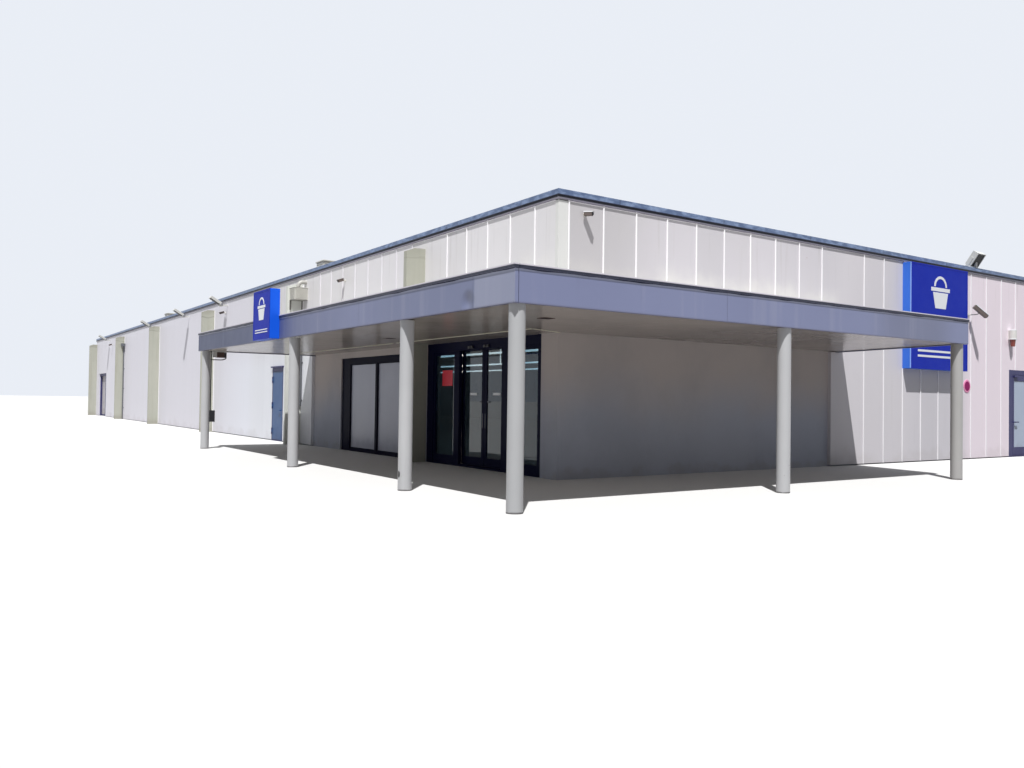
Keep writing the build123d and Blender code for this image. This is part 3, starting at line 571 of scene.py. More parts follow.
# %% [markdown]
# The entrance glass is clear but looks dark, because the hall behind it is dim. A shader with
# transmission and a faint green-blue tint does that by itself, and dust is left to roughness.


# %% Glass, roof and lamp finishes
def glass_finish(name, clearness, dark, pale):
    pane = Surface(name, roughness=0.03, Transmission_Weight=clearness, IOR=1.5)
    smear = pane.step(pane.noise(3.5, 6.0), 0.5, 0.8)
    pane.start(smear, dark, pale)
    return pane.finish(0.01 + smear * 0.02)


def roof_finish():
    felt = Surface("grey_roof_felt", roughness=0.85)
    lap = felt.seam(felt.y, 1.0, 0.2, 0.006)
    felt.start(felt.noise(1.5, 7.0), (104, 102, 100), (134, 130, 126))
    puddle = felt.step(felt.noise(0.45, 3.0), 0.55, 0.66)
    felt.tint(puddle * 0.5, 86, 80, 74)
    felt.tint(lap * 0.7, 60, 58, 58)
    return felt.finish(0.9 - puddle * 0.25, felt.grain(350.0) * 0.5 + lap, 0.003)


def glow_finish(name, colour, strength):
    lamp = Surface(name, roughness=0.4, Emission_Strength=strength)
    lamp.start(lamp.noise(3.0), colour, (250, 250, 250))
    lamp.feed("Emission Color", lamp.colour)
    return lamp.finish()


def split_finish(name, split_height, lower, upper):
    """Two paints that meet at a height, each a pair of near tones."""
    coat = Surface(name, roughness=0.4)
    low_paint = coat.blend(coat.noise(14.0, 6.0), tone(*lower[0]), tone(*lower[1]))
    high_paint = coat.blend(coat.noise(12.0, 5.0), tone(*upper[0]), tone(*upper[1]))
    above = coat.step(coat.z, split_height - 0.001, split_height + 0.001)
    coat.colour = coat.blend(above, low_paint, high_paint)
    return coat.finish(None, coat.grain(300.0), 0.0006)


leaf_glass = glass_finish("sliding_leaf_glass", 0.84, (112, 132, 144), (134, 152, 162))
fixed_glass = glass_finish("fixed_pane_glass", 0.84, (82, 112, 130), (102, 130, 148))
roof_felt = roof_finish()
siren_low, siren_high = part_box("siren")
siren_paint = split_finish("siren_paint", siren_low.z + 0.105,
                           ((116, 52, 44), (150, 78, 66)), ((206, 204, 198), (226, 224, 220)))
unit_paint = split_finish("wall_unit_paint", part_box("wall_unit")[0].z + 0.150,
                          ((64, 62, 60), (90, 86, 82)), ((176, 174, 166), (198, 196, 188)))
hall_light = glow_finish("hall_light_strip", (255, 238, 216), 3.4)
print("siren from", round(siren_low.z, 3), "to", round(siren_high.z, 3))

# %% [markdown]
# Each node of the frame keeps its mesh and gets a finish in its material slot. Nodes that aren't
# in the list are walls, and those are rendered.

# %% Dress the frame's own pieces
finish_of = {
    "front_cladding": front_cladding_paint, "left_cladding": side_cladding_paint,
    "plain_side_cladding": plain_cladding_paint, "roof_coping": flashing_paint,
    "coping_band": band_paint, "left_fins": fin_concrete, "right_fins": fin_concrete,
    "floor_slab": shop_floor, "roof_deck": roof_felt, "canopy_deck": canopy_roof,
    "canopy_fascia": fascia_paint, "canopy_soffit": soffit_paint, "columns": column_paint,
    "entrance_frame": navy_frame, "entrance_header": navy_frame, "sliding_leaf_near": navy_frame,
    "sliding_leaf_far": navy_frame, "closed_bay_frame": bay_navy, "closed_bay_boards": closing_board_in_painted_shade,
    "service_door_frame": slate_frame, "service_door_leaf": blue_door,
    "front_door_frame": slate_frame, "front_door_leaf": slate_frame,
    "front_door_panel": pale_panel, "shutter_frame": slate_frame,
    "roller_shutter": shutter_paint, "floodlights": lamp_casing, "cameras": dark_plastic,
    "wall_unit": unit_paint, "roof_vents": fitting_paint, "rainwater_pipes": pipe_zinc,
    "siren": siren_paint, "entrance_fixed_glass": fixed_glass,
    "sliding_leaf_near_glass": leaf_glass, "sliding_leaf_far_glass": leaf_glass,
}
for name, node in nodes.items():
    finish = finish_of.get(name, wall_render)
    if not node.data.materials:
        node.data.materials.append(finish)
    for index in range(len(node.data.materials)):
        node.data.materials[index] = finish
print("dressed", len(nodes), "nodes")

# %% [markdown]
# New pieces are built in two ways. What repeats in a row, such as cover joints, louvres and
# laps, is one geometry node tree with named inputs. What is made once is edited as a mesh.


# %% A tree for a row of rounded bars
def bar_row_tree():
    group = bpy.data.node_groups.new("bar_row", "GeometryNodeTree")
    face = group.interface
    face.new_socket("Geometry", in_out="OUTPUT", socket_type="NodeSocketGeometry")
    for name, kind in [("Count", "Int"), ("Start", "Vector"), ("Step", "Vector"), ("Bar", "Vector"),
                       ("Outward", "Vector"), ("Depth", "Float"), ("Width", "Float"),
                       ("Rounding", "Float"), ("Waver", "Float"), ("Seed", "Int"), ("Finish", "Material")]:
        face.new_socket(name, in_out="INPUT", socket_type="NodeSocket" + kind)
    tree = Tree(group)
    given = tree.node("NodeGroupInput")
    line = tree.node("GeometryNodeCurvePrimitiveLine", None, {"End": given.out("Bar")})
    line = tree.node("GeometryNodeSetCurveNormal", {"mode": "FREE"},
                     {"Curve": line, "Normal": given.out("Outward")})
    outline = tree.node("GeometryNodeCurvePrimitiveQuadrilateral", None,
                        {"Width": given.out("Depth"), "Height": given.out("Width")})
    outline = tree.node("GeometryNodeFilletCurve", {"mode": "POLY"},
                        {"Curve": outline, "Count": 1, "Radius": given.out("Rounding"), "Limit Radius": True})
    bar = tree.node("GeometryNodeCurveToMesh", None,
                    {"Curve": line, "Profile Curve": outline, "Fill Caps": True})
    row = tree.node("GeometryNodeMeshLine", {"mode": "OFFSET"},
                    {"Count": given.out("Count"), "Start Location": given.out("Start"),
                     "Offset": given.out("Step")})
    stray = tree.node("FunctionNodeRandomValue", {"data_type": "FLOAT"},
                      {2: -1.0, 3: 1.0, "Seed": given.out("Seed")}).out(1)
    stir = tree.node("ShaderNodeVectorMath", {"operation": "SCALE"},
                     {0: given.out("Outward"), "Scale": stray * given.out("Waver")})
    row = tree.node("GeometryNodeSetPosition", None, {"Geometry": row, "Offset": stir})
    row = tree.node("GeometryNodeInstanceOnPoints", None, {"Points": row, "Instance": bar})
    row = tree.node("GeometryNodeRealizeInstances", None, {"Geometry": row})
    row = tree.node("GeometryNodeSetMaterial", None, {"Geometry": row, "Material": given.out("Finish")})
    tree.node("NodeGroupOutput", None, {"Geometry": row})
    return group


bar_row = bar_row_tree()
print("bar_row inputs:", [s.name for s in bar_row.interface.items_tree if s.in_out == "INPUT"])


# %% Run a tree and keep its mesh
def settle(piece, body):
    """Put a finished object in the scene, on its body."""
    scene.collection.objects.link(piece)
    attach(piece, body)
    return piece


def grow(name, group, values, body="building"):
    """Make a plain mesh piece from a node tree and its named inputs."""
    seed_object = bpy.data.objects.new(name + "_seed", bpy.data.meshes.new(name + "_seed"))
    scene.collection.objects.link(seed_object)
    modifier = seed_object.modifiers.new("grow", "NODES")
    modifier.node_group = group
    for item in group.interface.items_tree:
        if item.in_out == "INPUT" and item.name in values:
            modifier[item.identifier] = values[item.name]
    evaluated = seed_object.evaluated_get(bpy.context.evaluated_depsgraph_get())
    mesh = bpy.data.meshes.new_from_object(evaluated)
    seed_object.modifiers.remove(modifier)
    bpy.data.objects.remove(seed_object)
    mesh.name = name
    return settle(bpy.data.objects.new(name, mesh), body)


def bars(name, count, start, step, bar, outward, depth, width, finish, rounding=0.002):
    """A row of rounded bars, each from its start point along the bar vector."""
    return grow(name, bar_row, {"Count": count, "Start": start, "Step": step, "Bar": bar,
                                "Outward": outward, "Depth": depth, "Width": width,
                                "Rounding": rounding, "Waver": 0.0, "Seed": 1,
                                "Finish": finish})


def one_bar(name, start, bar, outward, depth, width, finish, rounding=0.002):
    """A row of a single bar."""
    return bars(name, 1, start, (0, 0, 1), bar, outward, depth, width, finish, rounding)


print("rows ready")

# %% [markdown]
# A bright cover joint runs down between each pair of cladding panels. It is a shallow rounded
# strip, so one row of bars serves each stretch of wall. The rows start at the corner, as on the
# real wall, and stop at the canopy where the wall below is rendered.

# %% Cover joints on the cladding
joint_depth = 0.008
joint_width = 0.018
skin_low, skin_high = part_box("front_cladding")
left_low, left_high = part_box("left_cladding")
band_low, band_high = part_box("coping_band")
sign_low, sign_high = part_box("front_sign_box")
door_low, door_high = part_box("front_door_frame")
slim_band = 0.034
joint_top = band_high.z - slim_band
front_start = wall_corner.x + front_joint_shift
side_start = wall_corner.y + side_joint_shift
front_count = int((skin_high.x - wall_corner.x - front_joint_shift) / panel_width)
side_count = int((left_high.y - wall_corner.y - side_joint_shift) / panel_width)
print("joints up to", round(joint_top, 3), "canopy top", round(canopy_high.z, 3))

for name, first, last, bottom, top in [
        ("front_joints_over_canopy", 0, 8, canopy_high.z, joint_top),
        ("front_joint_by_canopy", 9, 9, canopy_high.z, joint_top),
        ("front_joints_beside_canopy", 11, 12, skin_low.z, joint_top),
        ("front_joints_under_sign", 13, 16, skin_low.z, sign_low.z),
        ("front_joints_after_sign", 17, 19, skin_low.z, joint_top),
        ("front_joints_over_door", 20, 21, door_high.z, joint_top),
        ("front_joints_far", 22, front_count, skin_low.z, joint_top)]:
    place = (front_start + first * panel_width, skin_low.y - joint_depth / 2, bottom)
    bars(name, last - first + 1, place, (panel_width, 0, 0), (0, 0, top - bottom), (0, -1, 0),
         joint_depth, joint_width, joint_paint)
for name, first, last, bottom, skin_x, outward, paint in [
        ("left_joints_over_canopy", 1, 5, canopy_high.z, left_low.x, -1, joint_paint),
        ("left_joints_beyond_fin", 7, 14, canopy_high.z, left_low.x, -1, dull_joint_paint),
        ("right_joints", 1, side_count, skin_low.z, skin_high.x, 1, joint_paint)]:
    place = (skin_x + outward * joint_depth / 2, side_start + first * panel_width, bottom)
    bars(name, last - first + 1, place, (0, panel_width, 0), (0, 0, joint_top - bottom),
         (outward, 0, 0), joint_depth, joint_width, paint)
back_place = (wall_corner.x + panel_width, left_high.y + joint_depth / 2, skin_low.z)
bars("back_joints", front_count, back_place, (panel_width, 0, 0), (0, 0, joint_top - skin_low.z),
     (0, 1, 0), joint_depth, joint_width, joint_paint)
print("front panels", front_count, "side panels", side_count)

# %% [markdown]
# Beyond the second fin the wall's panels meet flush, and only a white strip beside each fin stands
# out. Those strips, the slim grey band under the coping and the thin white trim below it come from
# the same row of bars. The band here is slimmer than the plain one of the frame, so it replaces it.

# %% White strips, slim band and trim
fin_starts = (2.580, 6.675, 11.850, 17.100, 22.050)
strip_gap = 0.022
strip_top = 2.540
for number, start in enumerate(fin_starts[1:], 2):
    bottom = skin_low.z if start > 7.0 else canopy_high.z
    place = (left_low.x - joint_depth / 2, wall_corner.y + start - strip_gap, bottom)
    one_bar(f"fin_{number}_near_strip", place, (0, 0, strip_top - bottom), (-1, 0, 0),
            joint_depth, 0.030, joint_paint)

band_thick = skin_low.y - band_low.y
half_thick = band_thick / 2
band_middle = band_high.z - slim_band / 2
front_run = (band_high.x - band_low.x, 0, 0)
side_run = (0, band_high.y - band_low.y - 2 * band_thick, 0)
side_y = band_low.y + band_thick
for side, x, y, run, outward in [
        ("front", band_low.x, band_low.y + half_thick, front_run, (0, -1, 0)),
        ("back", band_low.x, band_high.y - half_thick, front_run, (0, 1, 0)),
        ("left", band_low.x + half_thick, side_y, side_run, (-1, 0, 0)),
        ("right", band_high.x - half_thick, side_y, side_run, (1, 0, 0))]:
    band_piece = one_bar(f"roof_band_{side}", (x, y, band_middle), run, outward,
                         band_thick, slim_band, band_paint)
    if side == "front":
        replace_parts(band_piece, "coping_band")
one_bar("roof_band_over_sign", (sign_low.x, band_low.y + half_thick, (sign_high.z + joint_top) / 2),
        (sign_high.x - sign_low.x, 0, 0), (0, -1, 0), band_thick, joint_top - sign_high.z,
        band_paint)

trim_depth = 0.003
trim_z = joint_top - 0.005
for name, start_x, end_x in (("near", skin_low.x, sign_low.x), ("far", sign_high.x, skin_high.x)):
    one_bar(f"front_top_trim_{name}", (start_x, skin_low.y - trim_depth / 2, trim_z),
            (end_x - start_x, 0, 0), (0, -1, 0), trim_depth, 0.010, joint_paint)
one_bar("left_top_trim", (left_low.x - trim_depth / 2, skin_low.y, trim_z),
        (0, left_high.y - skin_low.y, 0), (-1, 0, 0), trim_depth, 0.010, joint_paint)
print("band", round(slim_band, 3), "high, strips beside", len(fin_starts) - 1, "fins")

# %% [markdown]
# Single pieces are edited as meshes: blocks with rounded edges, turned shapes from a profile, and
# flat outlines given a thickness. Each helper adds to an open mesh, and one call keeps the result.


# %% Mesh helpers
def add_block(mesh, low, high, rounding=0.0, place=None):
    """A block between two corners with its edges rounded, moved by a placing matrix."""
    low, high = Vector(low), Vector(high)
    middle, size = (low + high) / 2, high - low
    matrix = (place or Matrix.Identity(4)) @ Matrix.Translation(middle) @ Matrix.Diagonal((*size, 1.0))
    corners = bmesh.ops.create_cube(mesh, size=1.0, matrix=matrix)["verts"]
    if rounding:
        edges = list({edge for corner in corners for edge in corner.link_edges})
        bmesh.ops.bevel(mesh, geom=edges, offset=rounding, segments=2, affect="EDGES", profile=0.6)


def join_rings(mesh, rings):
    """Skin a list of rings of corners and close both ends."""
    for lower, upper in zip(rings, rings[1:]):
        for index in range(len(lower)):
            following = (index + 1) % len(lower)
            mesh.faces.new((lower[index], lower[following], upper[following], upper[index]))
    mesh.faces.new(list(reversed(rings[0])))
    mesh.faces.new(rings[-1])


def add_pipe(mesh, path, radius, sides):
    """A round pipe along a path of points, closed at both ends."""
    path = [Vector(point) for point in path]
    angles = [2 * pi * index / sides for index in range(sides)]
    rings = []
    for index, point in enumerate(path):
        ahead = path[min(index + 1, len(path) - 1)] - path[max(index - 1, 0)]
        turn = ahead.to_track_quat("Z", "Y")
        rings.append([mesh.verts.new(point + turn @ Vector((radius * cos(a), radius * sin(a), 0)))
                      for a in angles])
    join_rings(mesh, rings)


def add_turned(mesh, middle, profile, axis, sides):
    """A round shape from (radius, height) pairs about an axis through a middle point."""
    rings = []
    for radius, height in profile:
        ring = []
        for index in range(sides):
            angle = 2 * pi * index / sides
            a, b = radius * cos(angle), radius * sin(angle)
            offset = {"Z": (a, b, height), "X": (height, a, b), "Y": (b, height, a)}[axis]
            ring.append(mesh.verts.new(shift(Vector(middle), *offset)))
        rings.append(ring)
    join_rings(mesh, rings)


def add_plate(mesh, outline, across, upward, base, outward, thickness):
    """A flat outline of (a, b) points on a plane, given a thickness along outward."""
    across, upward, outward, base = Vector(across), Vector(upward), Vector(outward), Vector(base)
    back = [mesh.verts.new(base + across * a + upward * b) for a, b in outline]
    join_rings(mesh, [back, [mesh.verts.new(corner.co + outward * thickness) for corner in back]])


def keep(mesh, name, finish, body="building", smooth=False):
    """Close an edited mesh, turn its faces outwards and make it a piece on a body."""
    bmesh.ops.recalc_face_normals(mesh, faces=mesh.faces)
    data = bpy.data.meshes.new(name)
    mesh.to_mesh(data)
    mesh.free()
    data.materials.append(finish)
    if smooth:
        data.shade_smooth()
        data.set_sharp_from_angle(angle=radians(35))
    return settle(bpy.data.objects.new(name, data), body)


def keep_block(name, low, high, rounding, finish, body="building"):
    """A piece that is one block."""
    mesh = bmesh.new()
    add_block(mesh, low, high, rounding)
    return keep(mesh, name, finish, body)


print("mesh helpers ready")

# %% [markdown]
# Both signs are boxes of folded sheet with rounded edges and a flat face in a slim rim. The face is
# left without lettering and carries a plain shape of a shopping basket over two plain lines. The
# frame's boxes are square blocks, so the folded casings replace them. The front sign's side has a
# pale stripe just behind its face.

# %% Sign faces
sign_proud = 0.004
sign_rim = 0.02
shape_thick = 0.002


def basket_outline(size):
    """Outlines of a plain basket: its tub, its rim and its handle, round the middle of a square."""
    tub = [(-0.26, 0.02), (-0.18, -0.28), (0.18, -0.28), (0.26, 0.02)]
    rim = [(-0.32, 0.04), (-0.32, 0.11), (0.32, 0.11), (0.32, 0.04)]
    handle = [(0.22 * cos(pi * i / 12), 0.13 + 0.20 * sin(pi * i / 12)) for i in range(13)]
    handle += [(0.17 * cos(pi * i / 12), 0.13 + 0.15 * sin(pi * i / 12)) for i in range(12, -1, -1)]
    return [[(a * size, b * size) for a, b in shape] for shape in (tub, rim, handle)]


def rectangle(a0, a1, b0, b1):
    """Outline from a0 to a1 across and from b0 to b1 upwards."""
    return [(a0, b0), (a1, b0), (a1, b1), (a0, b1)]


def sign_face(name, node, side_paint, across, outward, basket_size, basket_rise):
    """Casing, face sheet, rim, basket and two plain lines in the place of a sign box."""
    low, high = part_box(node)
    across, outward, upward = Vector(across), Vector(outward), Vector((0, 0, 1))
    middle = (low + high) / 2
    half_size = (high - low) / 2 - Vector([abs(v) for v in outward]) * sign_proud / 2
    casing_middle = middle - outward * sign_proud / 2
    casing = bmesh.new()
    add_block(casing, casing_middle - half_size, casing_middle + half_size, 0.004)
    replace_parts(keep(casing, name + "_casing", side_paint), node)
    half_wide, half_high = abs((high - low).dot(across)) / 2, (high.z - low.z) / 2
    half, tall = half_wide - sign_rim, half_high - sign_rim
    plane = middle + outward * (abs((high - low).dot(outward)) / 2 - sign_proud)
    sheet_plane = plane + outward * sign_proud / 2
    face, rim, shape = (bmesh.new() for part in range(3))
    add_plate(face, rectangle(-half, half, -tall, tall), across, upward, plane, outward, sign_proud / 2)
    keep(face, name + "_face", sign_blue)
    for edges in [(-half_wide, half_wide, tall, half_high), (-half_wide, half_wide, -half_high, -tall),
                  (-half_wide, -half, -tall, tall), (half, half_wide, -tall, tall)]:
        add_plate(rim, rectangle(*edges), across, upward, plane, outward, sign_proud)
    keep(rim, name + "_rim", sign_blue)
    for outline in basket_outline(basket_size):
        add_plate(shape, outline, across, upward, sheet_plane + upward * basket_rise, outward, shape_thick)
    for share in (0.10, 0.15):
        line_low, line_high = share * half_high * 2 - tall, (share + 0.02) * half_high * 2 - tall
        add_plate(shape, rectangle(-half * 0.8, half * 0.8, line_low, line_high),
                  across, upward, sheet_plane, outward, shape_thick)
    keep(shape, name + "_basket", white_vinyl)


fascia_sign_low, fascia_sign_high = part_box("fascia_sign_box")
sign_face("front_sign", "front_sign_box", pale_sign_side, (1, 0, 0), (0, -1, 0), 0.72, 0.33)
sign_depth = sign_high.y - sign_low.y
one_bar("front_sign_edge", shift(sign_low, 0.001, sign_depth * 0.10, 0.004),
        (0, 0, sign_high.z - sign_low.z - 0.008), (-1, 0, 0), 0.004, sign_depth * 0.14, sign_edge)
sign_face("fascia_sign", "fascia_sign_box", sign_side, (0, -1, 0), (-1, 0, 0), 0.42, 0.06)
print("signs", metres(sign_high - sign_low), metres(fascia_sign_high - fascia_sign_low))

# %% [markdown]
# Under the canopy's folded lip a thin seal strip has worked loose in places, so its lower edge
# wavers. A strip with many short divisions, each nudged by a smooth sum of sines, gives that.

# %% Wavering strip under the canopy's lip
strip_drop = 0.003
strip_thick = 0.004


def waver(distance):
    """A slow, a middling and a quick swing, none a multiple of another."""
    return (0.0035 * sin(distance * 4.1) + 0.0025 * sin(distance * 11.3 + 1.0)
            + 0.0015 * sin(distance * 23.7))


def seal_strip(mesh, start, end, outward, divisions=90):
    """A thin strip hung under the lip, its lower edge wavering along its length."""
    start, end, outward = Vector(start), Vector(end), Vector(outward)
    rings = []
    for index in range(divisions + 1):
        spot = start.lerp(end, index / divisions)
        swing = waver((spot - start).length + start.x)
        hang = Vector((0, 0, strip_drop + abs(swing)))
        rings.append([mesh.verts.new(corner) for corner in (
            spot, spot - hang, spot + outward * (strip_thick + swing * 0.4) - hang,
            spot + outward * strip_thick)])
    join_rings(mesh, rings)


seal = bmesh.new()
flashing_depth = 0.010
face_low = Vector((canopy_low.x + flashing_depth, canopy_low.y + flashing_depth, lip_low))
front_end = Vector((wall_corner.x + 3.907, face_low.y, lip_low))
seal_strip(seal, (face_low.x, canopy_high.y - 0.001, lip_low), face_low, (-1, 0, 0))
seal_strip(seal, face_low, front_end, (0, -1, 0))
keep(seal, "canopy_seal_strip", strip_paint)
print("lip from", round(lip_low, 3), "to", round(canopy_high.z, 3), "front end", round(front_end.x, 3))

# %% [markdown]
# The entrance has what an automatic door needs: a sensor over each leaf, grips on the meeting
# edges, a white mark on each pane, a notice left blank, and a mat on the floor.

# %% Entrance fittings
header_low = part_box("entrance_header")[0]
near_low, near_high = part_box("sliding_leaf_near")
far_low, far_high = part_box("sliding_leaf_far")
frame_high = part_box("entrance_frame")[1]
floor_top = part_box("floor_slab")[1].z
meeting_y = (near_high.y + far_low.y) / 2
sensors = bmesh.new()
for side in (-1, 1):
    sensor = Vector((header_low.x, meeting_y + side * 0.16, header_low.z))
    add_block(sensors, shift(sensor, -0.022, -0.05, 0.012), shift(sensor, 0, 0.05, 0.042), 0.006)
    add_turned(sensors, shift(sensor, -0.022, 0, 0.026),
               [(0.014, 0.0), (0.014, -0.006), (0.008, -0.01)], "X", 20)
keep(sensors, "door_sensors", dark_plastic)
for name, edge_y, side, body in [("near_leaf_grip", near_high.y, -1, "near_leaf"),
                                 ("far_leaf_grip", far_low.y, 1, "far_leaf")]:
    grip = bmesh.new()
    edge = Vector((near_low.x, edge_y, 0.0))
    bow = side * 0.024
    add_block(grip, shift(edge, -0.004, bow - 0.006, 0.44), shift(edge, 0, bow + 0.006, 0.60), 0.002)
    add_block(grip, shift(edge, -0.003, side * 0.060, 0.72), shift(edge, 0.008, side * 0.10, 0.735), 0.002)
    keep(grip, name, dark_steel, body)
glass_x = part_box("entrance_fixed_glass")[0].x
notice_middle = Vector((glass_x - 0.002, wall_corner.y + 2.145, 0.995))
notice_half = Vector((0.001, 0.115, 0.090))
keep_block("blank_red_notice", notice_middle - notice_half, notice_middle + notice_half, 0.0,
           notice_red)
leaf_glass_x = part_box("sliding_leaf_near_glass")[0].x
for leaf, leaf_start in (("near_leaf", near_low.y), ("far_leaf", far_low.y)):
    middle_y = leaf_start + 0.235
    keep_block(leaf + "_mark", (leaf_glass_x - 0.002, middle_y - 0.070, 0.800),
               (leaf_glass_x, middle_y + 0.070, 0.825), 0.0, white_vinyl, leaf)
keep_block("entrance_mat", (frame_high.x, near_low.y, floor_top),
           (frame_high.x + 0.7, far_high.y, floor_top + 0.006), 0.002, dark_plastic)
print("leaves meet at", round(meeting_y, 3))

# %% [markdown]
# The floodlights are cast heads on short arms. Each has long cooling ribs on its back and a dark
# glass below, in a slim frame. One matrix per lamp places a head that is modelled lying flat, so
# the tilt is written once, and the ribs are again a row of bars.


# %% Floodlights along the long wall
def turned(degrees, axis):
    return Matrix.Rotation(radians(degrees), 4, axis)


lamp_distances = (10.900, 14.000, 17.750, 24.750)
half_lamp = Vector((0.290, 0.150, 0.045)) / 2
lamp_turn = turned(31, "Y")
lamp_glasses, lamp_brackets = bmesh.new(), bmesh.new()
for number, distance in enumerate(lamp_distances, 1):
    head_place = (left_low.x - 0.220, wall_corner.y + distance, coping_low.z - 0.050)
    head = Matrix.Translation(head_place) @ lamp_turn
    bars(f"floodlight_{number}_ribs", 6,
         head @ Vector((-half_lamp.x + 0.02, -half_lamp.y + 0.02, half_lamp.z + 0.004)),
         lamp_turn @ Vector((0, 0.022, 0)), lamp_turn @ Vector((half_lamp.x * 2 - 0.04, 0, 0)),
         lamp_turn @ Vector((0, 0, 1)), 0.010, 0.007, lamp_casing)
    add_block(lamp_glasses, (-half_lamp.x + 0.015, -half_lamp.y + 0.012, -half_lamp.z - 0.004),
              (half_lamp.x - 0.07, half_lamp.y - 0.012, -half_lamp.z), 0.002, head)
    add_block(lamp_brackets, (half_lamp.x - 0.06, -half_lamp.y - 0.006, -half_lamp.z - 0.012),
              (half_lamp.x - 0.02, half_lamp.y + 0.006, half_lamp.z + 0.006), 0.003, head)
keep(lamp_glasses, "floodlight_glasses", lamp_glass)
keep(lamp_brackets, "floodlight_brackets", steel_trim)
print("floodlights on the wall", len(lamp_distances))

# %% [markdown]
# The square lamp on the front coping looks down over the paving. Its dark glass sits in a pale
# frame that stands proud of it, and a stirrup holds it by its sides.

# %% Lamp on the coping
square_place = (wall_corner.x + 7.510, coping_low.y + 0.020, coping_high.z + 0.130)
square = Matrix.Translation(square_place) @ turned(35, "X")
half = 0.105
inner = half - 0.012
glass, surround = bmesh.new(), bmesh.new()
add_block(glass, (-inner, -0.044, -inner), (inner, -0.040, inner), 0.002, square)
keep(glass, "coping_lamp_glass", lamp_glass)
for low_x, high_x, low_z, high_z in [(-half, half, inner, half), (-half, half, -half, -inner),
                                     (-half, -inner, -half, half), (inner, half, -half, half)]:
    add_block(surround, (low_x, -0.050, low_z), (high_x, -0.039, high_z), 0.002, square)
for arm_x in (-half - 0.004, half + 0.004):
    add_block(surround, (arm_x - 0.004, -0.02, -half - 0.03), (arm_x + 0.004, 0.02, 0.02), 0.002, square)
keep(surround, "coping_lamp_frame", lamp_casing)
bars("coping_lamp_ribs", 7, square @ Vector((-0.09, 0.044, -0.09)), (0.03, 0, 0),
     (square @ Vector((0, 0, 0.18))) - square.translation,
     (square @ Vector((0, 1, 0))) - square.translation, 0.012, 0.006, lamp_casing)
print("coping lamp at", metres(square.translation))

# %% [markdown]
# The watching cameras are brown boxes with a round glass in front, under a folded sun shield that
# is brown on the long wall and white on the front wall. The shield keeps rain and glare off, so it
# reaches past the glass and hangs down at the sides. Each camera is held by a tube on a round
# foot, and together they replace the frame's plain blocks.


# %% Camera shields and glasses
def add_shield(mesh, place, length, width, height, overhang, skirt):
    """A folded sheet over a camera that lies along -X of its place."""
    top, thick = height / 2, 0.002
    front = -length / 2 - overhang
    add_block(mesh, (front, -width / 2 - thick, top),
              (length / 2, width / 2 + thick, top + thick), 0.0, place)
    for side in (-1, 1):
        low, high = sorted((side * width / 2, side * (width / 2 + thick)))
        add_block(mesh, (front, low, top - height * skirt), (length / 2, high, top), 0.0, place)


def add_eye(mesh, place, length, radius):
    """Lens ring and glass on the front end of a camera that lies along -X of its place."""
    middle = place @ Vector((-length / 2, 0, 0))
    outward = place.to_3x3() @ Vector((-1, 0, 0))
    add_pipe(mesh, [middle, middle + outward * 0.006], radius, 20)
    add_pipe(mesh, [middle + outward * 0.006, middle + outward * 0.009], radius * 0.7, 20)


shields, side_shields, eyes, boxes, arms = (bmesh.new() for part in range(5))
half_camera = Vector((0.043, 0.020, 0.020))
places = [(Matrix.Translation((left_low.x - 0.070, wall_corner.y + distance, level)),
           Vector((0.070, 0, 0)), turned(-20, "Y"))
          for distance, level in ((4.980, 2.425), (11.040, 2.432), (24.200, 2.390))]
corner_camera = Matrix.Translation((wall_corner.x + 0.270, skin_low.y - 0.056, 2.545))
places.append((corner_camera @ turned(28, "Z") @ turned(90, "Z"), Vector((0, 0.056, 0)), turned(-4, "Y")))
for level_place, inward, tilt in places:
    place = level_place @ tilt
    add_block(boxes, -half_camera, half_camera, 0.006, place)
    add_shield(side_shields if inward.x else shields, place, 0.086, 0.042, 0.042, 0.008, 0.16)
    add_eye(eyes, place, 0.086, 0.016)
    foot = level_place.translation + inward
    add_pipe(arms, [level_place.translation, foot], 0.007, 10)
    add_pipe(arms, [foot - inward * 0.1, foot], 0.022, 20)
long_middle = Vector((wall_corner.x + 7.341, skin_low.y - 0.161, 2.098))
long_place = Matrix.Translation(long_middle) @ turned(47, "Z") @ turned(90, "Z") @ turned(-42, "Y")
long_half = 0.112
add_block(boxes, (-long_half, -0.030, -0.030), (long_half, 0.030, 0.026), 0.006, long_place)
add_shield(shields, long_place, long_half * 2, 0.066, 0.054, 0.006, 0.12)
add_eye(eyes, long_place, long_half * 2, 0.024)
long_foot = Vector((wall_corner.x + 7.319, skin_low.y, 2.059))
elbow = shift(long_foot, 0.008, -0.140, 0)
add_pipe(arms, [long_foot, shift(elbow, 0, 0.01, 0), shift(elbow, 0, 0, 0.01), shift(elbow, 0, 0, 0.045)],
         0.008, 10)
add_pipe(arms, [shift(long_foot, 0, -0.006, 0), long_foot], 0.026, 20)
keep(shields, "camera_shields", white_vinyl)
keep(side_shields, "side_camera_shields", camera_body)
keep(eyes, "camera_eyes", dark_plastic)
keep(arms, "camera_arms", fitting_paint, smooth=True)
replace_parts(keep(boxes, "camera_boxes", camera_body), "cameras")
print("cameras", len(places) + 1)

# %% [markdown]
# The cooling unit on the first stretch of wall stands on legs above the canopy. Air enters through
# louvres on its sides and leaves by a fat duct that bends back into the wall over a domed lid.

